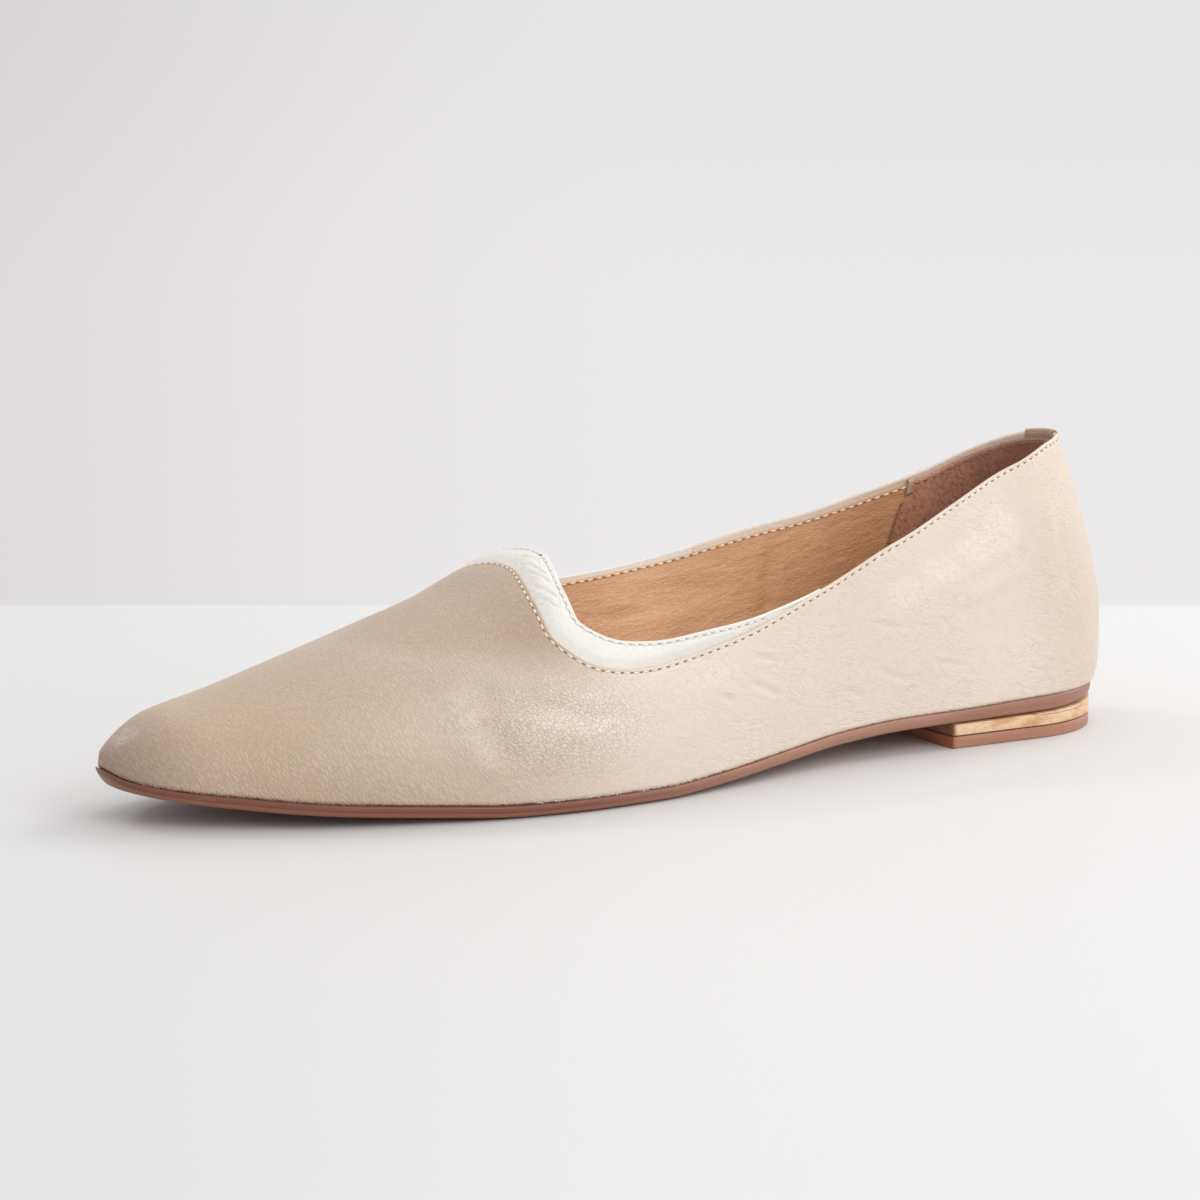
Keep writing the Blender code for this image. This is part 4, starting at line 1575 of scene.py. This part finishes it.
def add_beads(bm, matrices, detail):
    """Adds a bead at every place, in batches, so that each operator works on a small mesh."""
    sides = {"u_segments": detail, "v_segments": detail - 2}
    for start in range(0, len(matrices), BEAD_BATCH):
        part = bmesh.new()
        for matrix in matrices[start:start + BEAD_BATCH]:
            bmesh.ops.create_uvsphere(part, **sides, radius=1.0, matrix=matrix)
        mesh = bpy.data.meshes.new("batch")
        part.to_mesh(mesh)
        part.free()
        bm.from_mesh(mesh)
        bpy.data.meshes.remove(mesh)


def stitch_rows():
    """Thread, painted hole shade, points and normals of every row of stitching."""
    wall = all_round(STITCH_LINES)
    points, normals, _ = wall.surface(wall.share(wall.trim + size_mm("seam_depth")))
    yield "cream_thread", "brown_hole", points - normals * CHANNEL_DEPTH, normals
    points, normals, _ = wall.surface(wall.share(lining_depth(wall) + LINING_SEAM))
    inside = points + normals * LINING_OUT
    suede = inside[:, 0] > SUEDE_FROM
    front = np.flatnonzero(~suede)
    yield "cream_thread", "brown_hole", inside[front], -normals[front]
    back = np.roll(np.arange(len(suede) - 1), len(suede) // 2)
    back = back[suede[back]]
    yield "brown_thread", "brown_hole", (inside - normals * SUEDE_SEAM_IN)[back], -normals[back]
    band = trim_lines(TRIM_STITCH_LINES)
    close = size_mm("trim_seam_depth")
    wide = band.trim > close + TRIM_SEAM_ROOM
    points, normals, _ = band.surface(band.share(close))
    outside = points + normals * trim_height(close, band)[:, None]
    yield "white_thread", "grey_hole", outside[wide], normals[wide]
    throat = wide & (band.lines["foot"] < THROAT_FEET)
    inside = points + normals * (LINING_OUT - THROAT_SEAM_IN)
    yield "cream_thread", "brown_hole", inside[throat], -normals[throat]
    for side in (LATERAL, MEDIAL):
        row = np.linspace(*COUNTER_SEAM_ROWS)
        wall = Wall(side * suede_edge(row))
        points, normals, _ = wall.surface(wall.share(LINING_TOP + COUNTER_SEAM) * row)
        yield "brown_thread", "brown_hole", points + normals * (SUEDE_OUT - COUNTER_SEAM_IN), -normals


def needle_hole():
    """Place, direction and normal of the open needle hole."""
    band = trim_lines(TRIM_STITCH_LINES)
    close = size_mm("trim_seam_depth")
    points, normals, _ = band.surface(band.share(close))
    spot = int(NEEDLE_HOLE_AT * len(points))
    out = trim_height(close, band)[spot] + NEEDLE_HOLE_RAISED
    return points[spot] + normals[spot] * out, unit(points[spot + 1] - points[spot]), normals[spot]


def build_stitching():
    pitch = size_mm("stitch_pitch")
    width = size_mm("stitch_width")
    size = (size_mm("stitch_length"), width, width * STITCH_FLATNESS)
    pieces = {}
    for thread, hole_shade, points, normals in stitch_rows():
        centres, forward, outward = walk(points, normals, pitch)
        places = zip(centres, forward, outward)
        stitches = [bead_matrix(c + o * STITCH_RAISED, f, o, size) for c, f, o in places]
        add_beads(pieces.setdefault(thread, bmesh.new()), stitches, STITCH_DETAIL)
        gaps = np.diff(centres, axis=0)
        near = np.linalg.norm(gaps, axis=1) < SKIPPED_STITCH * pitch
        places = zip((centres[:-1] + gaps / 2)[near], forward[:-1][near], outward[:-1][near])
        # Dark beads between the stitches: painted shade of the needle holes.
        holes = [bead_matrix(c + o * PRICK_RAISED, f, o, PRICK) for c, f, o in places]
        add_beads(pieces.setdefault(hole_shade, bmesh.new()), holes, PRICK_DETAIL)
    add_beads(pieces["brown_hole"], [bead_matrix(*needle_hole(), NEEDLE_HOLE)], STITCH_DETAIL)
    materials = {
        "cream_thread": sewing_thread("cream_thread", colours().thread),
        "white_thread": sewing_thread("white_thread", colours().cream),
        "brown_thread": sewing_thread("brown_thread", colours().hole),
        # The hole materials paint the holes' shade.
        "brown_hole": plain("brown_hole", colours().hole, 0.8),
        "grey_hole": plain("grey_hole", colours().grey, 0.8),
    }
    for name, bm in pieces.items():
        finish_piece("stitching_" + name, bm, materials[name])


# Crumbs along the feather line of the lateral side: material, stations, number, length and height.
CRUMBS = (
    ("grey_crumb", 5, 52, 260, 0.55, 0.22),
    ("dark_crumb", 5, 56, 240, 0.6, 0.22),
    ("dark_crumb", 52, 88, 130, 0.8, 0.2),
    ("glue_crumb", 88, 138, 120, 0.9, 0.22),
    ("grey_crumb", 86, 140, 80, 0.6, 0.2),
    ("dark_crumb", 112, 152, 110, 0.8, 0.2),
    ("dark_crumb", 150, 262, 70, 0.9, 0.18),
    ("grey_crumb", 205, 262, 60, 0.6, 0.18),
)
CRUMB_SEED = 11
CRUMB_OUT = (-0.1, 0.3)
CRUMB_UP = (0.05, 0.45)
CRUMB_SIZES = (0.35, 1.0)
CRUMB_DETAIL = 5


def feather_side(x):
    """Sideways place of the upper's foot on the lateral side."""
    return axis(x) - half_width(x, LATERAL, SOLE_PROUD)


def build_crumbs():
    """Crumbs of glue and frayed leather where the upper meets the sole."""
    dice = np.random.default_rng(CRUMB_SEED)
    pieces = {}
    for name, start, stop, count, length, height in CRUMBS:
        x = dice.uniform(start, stop, count)
        side = feather_side(x) - dice.uniform(*CRUMB_OUT, count)
        points = np.stack([x, side, feather(x) + dice.uniform(*CRUMB_UP, count)], -1)
        ahead = feather_side(x + 1) - feather_side(x)
        along = unit(np.stack([np.ones(count), ahead, feather(x + 1) - feather(x)], -1))
        out = unit(np.cross(along, np.tile((0.0, 0.0, 1.0), (count, 1))))
        scale = dice.uniform(*CRUMB_SIZES, (count, 3)) * (length, height, height)
        crumbs = [bead_matrix(*spot) for spot in zip(points, along, out, scale)]
        add_beads(pieces.setdefault(name, bmesh.new()), crumbs, CRUMB_DETAIL)
    materials = {
        "grey_crumb": plain("grey_crumb", colours().crumb, 0.7),
        "glue_crumb": plain("glue_crumb", colours().thread, 0.6),
        "dark_crumb": plain("dark_crumb", colours().sole, 0.7),
    }
    for name, bm in pieces.items():
        finish_piece("feather_line_" + name, bm, materials[name])


# Softboxes: direction along the camera's right, up and back, then distance and size in metres.
SOFTBOXES = {
    "key": ((0.6, 0.5, 0.64), 3.0, (2.0, 1.6)),
    "side": ((0.62, 0.62, -0.5), 2.0, (1.2, 1.0)),
    "back": ((-0.64, 0.71, -0.32), 1.4, (0.24, 0.17)),
}
AIM = Vector((0, 0, 0.03))
UPRIGHT = Vector((0, 0, 1))

# The studio in metres, and its tones: the floor and the wall behind it carry painted shade towards the left.
# Ways across the view are shares of the distance from the camera.
FLOOR_HALF = 40.0
FLOOR_DROP = 0.00005
WALL_BLUR = 0.004
EYE_HEIGHT = 0.186
# The wall's left and right tones are painted shade and painted light; the floor's left factor is painted
# shade.
WALL_LEFT_SHADE = (0.73, 0.705, 0.712, 1)
WALL_RIGHT_LIT = (0.835, 0.82, 0.82, 1)
WALL_TURN = (-0.2, 0.02)
WALL_LOW = (0.0, 0.09, 0.95, 1.0)
FLOOR_TURN = (-0.2, 0.05)
FLOOR_LEFT_SHADE = 0.92
ROOM_TONE = (1.0, 0.995, 0.99, 1.0)
ROOM_UP = (0.0, 0.5, 1.15, 0.95)
ROOM_ACROSS = (-0.9, 0.9, 1.0, 1.08)


def camera_axes():
    """The camera's right, ahead and up."""
    yaw = math.radians(CAMERA_YAW)
    pitch = math.radians(CAMERA_PITCH)
    right = Vector((math.cos(yaw), -math.sin(yaw), 0))
    ahead = Vector((math.sin(yaw) * math.cos(pitch), math.cos(yaw) * math.cos(pitch), -math.sin(pitch)))
    return right, ahead, right.cross(ahead)


def level_ahead():
    """The camera's direction along the floor."""
    ahead = camera_axes()[1]
    return Vector((ahead.x, ahead.y, 0)).normalized()


def add_camera():
    data = bpy.data.cameras.new("camera")
    data.lens = CAMERA_LENS
    data.sensor_width = CAMERA_SENSOR
    data.clip_start, data.clip_end = CAMERA_CLIP
    camera = bpy.data.objects.new("camera", data)
    right, ahead, up = camera_axes()
    turn = Matrix((right, up, -ahead)).transposed().to_4x4()
    camera.matrix_world = Matrix.Translation(Vector(place(CAMERA_AT))) @ turn
    bpy.context.scene.collection.objects.link(camera)
    bpy.context.scene.camera = camera


def add_softbox(name, power):
    """An area light that faces the shoe."""
    toward, distance, size = SOFTBOXES[name]
    way = camera_axes()[0] * toward[0] + UPRIGHT * toward[1] - level_ahead() * toward[2]
    way.normalize()
    data = bpy.data.lights.new(name, "AREA")
    data.shape = "RECTANGLE"
    data.size, data.size_y = size
    data.energy = power
    light = bpy.data.objects.new(name, data)
    light.location = AIM + way * distance
    light.rotation_mode = "QUATERNION"
    light.rotation_quaternion = (-way).to_track_quat("-Z", "Y")
    bpy.context.scene.collection.objects.link(light)


def floor_material(colour):
    """Pale floor that turns into a glowing wall at the back; the wall has painted shade on the left and
    painted light on the right and is a little darker towards its top, the floor has painted shade on the
    left.
    """
    material, n, shader = new_material("floor", {"Roughness": 0.6, "Specular IOR Level": 0.2})
    seen = n.vector("SUBTRACT", n.place(), tuple(place(CAMERA_AT)))
    away = n.vector("DOT_PRODUCT", seen, level_ahead())
    aside = n.vector("DOT_PRODUCT", seen, camera_axes()[0])
    wall = n.step(away, WALL_AWAY - WALL_BLUR, WALL_AWAY + WALL_BLUR)
    across = n.math("DIVIDE", aside, away)
    # Wall darker on the left and lighter on the right: painted shade and painted light.
    tone = n.mix(n.step(across, *WALL_TURN), WALL_LEFT_SHADE, WALL_RIGHT_LIT)
    high = n.step(n.math("DIVIDE", EYE_HEIGHT, away), *WALL_LOW)
    grey = n.add("ShaderNodeCombineColor", {0: high, 1: high, 2: high}).outputs[0]
    glowing_wall = n.add("ShaderNodeEmission", {"Color": n.mix(1.0, tone, grey, "MULTIPLY")}).outputs[0]
    # Floor darker on the left: painted shade.
    paper_shaded_left = n.mix(n.step(across, *FLOOR_TURN), shade(colour, FLOOR_LEFT_SHADE), shade(colour, 1.0))
    n.connect(shader, {"Base Color": paper_shaded_left})
    joined = n.add("ShaderNodeMixShader", {0: wall, 1: shader.outputs[0], 2: glowing_wall}).outputs[0]
    n.connect(n.tree.nodes["Material Output"], {"Surface": joined})
    return material


def add_floor():
    bm = bmesh.new()
    bmesh.ops.create_grid(bm, x_segments=1, y_segments=1, size=FLOOR_HALF)
    bmesh.ops.translate(bm, verts=bm.verts[:], vec=(0, 0, -FLOOR_DROP))
    mesh = bpy.data.meshes.new("floor")
    bm.to_mesh(mesh)
    bm.free()
    mesh.materials.append(floor_material(colours().floor))
    floor = bpy.data.objects.new("floor", mesh)
    bpy.context.scene.collection.objects.link(floor)
    floor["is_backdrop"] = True


def add_room(strength):
    """A white room: brighter low down and to the right."""
    world = bpy.data.worlds.new("room")
    world.use_nodes = True
    n = Nodes(world.node_tree)
    way = n.add("ShaderNodeTexCoord").outputs["Generated"]
    height = n.add("ShaderNodeSeparateXYZ", {0: way}).outputs["Z"]
    aside = n.vector("DOT_PRODUCT", way, camera_axes()[0])
    glow = n.times(n.step(height, *ROOM_UP), n.step(aside, *ROOM_ACROSS))
    background = world.node_tree.nodes["Background"]
    n.connect(background, {"Color": ROOM_TONE, "Strength": n.times(glow, strength)})
    bpy.context.scene.world = world


def build_stage():
    studio = bpy.context.scene.flat_shoe_studio
    add_floor()
    add_room(studio.room)
    for name in SOFTBOXES:
        add_softbox(name, getattr(studio, name))
    add_camera()
    bpy.context.scene.view_settings.view_transform = "Standard"


class FLATSHOE_OT_upper(Operator):
    """Build the leather upper with its folded edge and folds"""

    bl_idname = "flat_shoe.upper"
    bl_label = "Upper"

    def execute(self, context):
        build_upper()
        return {"FINISHED"}


class FLATSHOE_OT_trim(Operator):
    """Build the cream collar trim"""

    bl_idname = "flat_shoe.trim"
    bl_label = "Collar Trim"

    def execute(self, context):
        build_trim()
        return {"FINISHED"}


class FLATSHOE_OT_lining(Operator):
    """Build the lining, the suede counter lining and the sock"""

    bl_idname = "flat_shoe.lining"
    bl_label = "Lining"

    def execute(self, context):
        build_lining()
        build_counter()
        build_tab()
        build_insole()
        return {"FINISHED"}


class FLATSHOE_OT_sole(Operator):
    """Build the sole and the stacked heel"""

    bl_idname = "flat_shoe.sole"
    bl_label = "Sole and Heel"

    def execute(self, context):
        build_outsole()
        build_heel()
        return {"FINISHED"}


class FLATSHOE_OT_back_strip(Operator):
    """Build the strip folded over the topline at the heel back"""

    bl_idname = "flat_shoe.back_strip"
    bl_label = "Back Strip"

    def execute(self, context):
        build_back_strip()
        return {"FINISHED"}


class FLATSHOE_OT_stitching(Operator):
    """Sew the rows of stitches, with dark beads of painted shade at their needle holes"""

    bl_idname = "flat_shoe.stitching"
    bl_label = "Stitching"

    def execute(self, context):
        build_stitching()
        return {"FINISHED"}


class FLATSHOE_OT_crumbs(Operator):
    """Add the crumbs of glue and leather along the feather line"""

    bl_idname = "flat_shoe.crumbs"
    bl_label = "Feather Line"

    def execute(self, context):
        build_crumbs()
        return {"FINISHED"}


class FLATSHOE_OT_stage(Operator):
    """Set up the studio floor, the lights and the camera"""

    bl_idname = "flat_shoe.stage"
    bl_label = "Studio"

    def execute(self, context):
        build_stage()
        return {"FINISHED"}


class FLATSHOE_PT_build(Panel):
    """Lists the steps that build the shoe"""

    bl_idname = "FLATSHOE_PT_build"
    bl_label = "Flat Shoe"
    bl_space_type = "VIEW_3D"
    bl_region_type = "UI"
    bl_category = "Flat Shoe"

    def draw(self, context):
        for step in STEPS:
            self.layout.operator(step.bl_idname)


STEPS = (
    FLATSHOE_OT_upper,
    FLATSHOE_OT_trim,
    FLATSHOE_OT_lining,
    FLATSHOE_OT_sole,
    FLATSHOE_OT_back_strip,
    FLATSHOE_OT_stitching,
    FLATSHOE_OT_crumbs,
    FLATSHOE_OT_stage,
)

GROUPS = {
    "flat_shoe_colours": ShoeColours,
    "flat_shoe_sizes": ShoeSizes,
    "flat_shoe_studio": ShoeStudio,
}


def register():
    for name, group in GROUPS.items():
        bpy.utils.register_class(group)
        setattr(bpy.types.Scene, name, PointerProperty(type=group))
    for made in (*STEPS, FLATSHOE_PT_build):
        bpy.utils.register_class(made)


def unregister():
    for made in (FLATSHOE_PT_build, *reversed(STEPS)):
        bpy.utils.unregister_class(made)
    for name, group in GROUPS.items():
        delattr(bpy.types.Scene, name)
        bpy.utils.unregister_class(group)


def main():
    register()
    bpy.ops.flat_shoe.upper()
    bpy.ops.flat_shoe.trim()
    bpy.ops.flat_shoe.lining()
    bpy.ops.flat_shoe.sole()
    bpy.ops.flat_shoe.back_strip()
    bpy.ops.flat_shoe.stitching()
    bpy.ops.flat_shoe.crumbs()
    bpy.ops.flat_shoe.stage()
    boxes = {"cad": CAD_BOX, "shown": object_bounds()}
    {name: [list(corner) for corner in box] for name, box in boxes.items()}


if __name__ == "__main__":
    main()
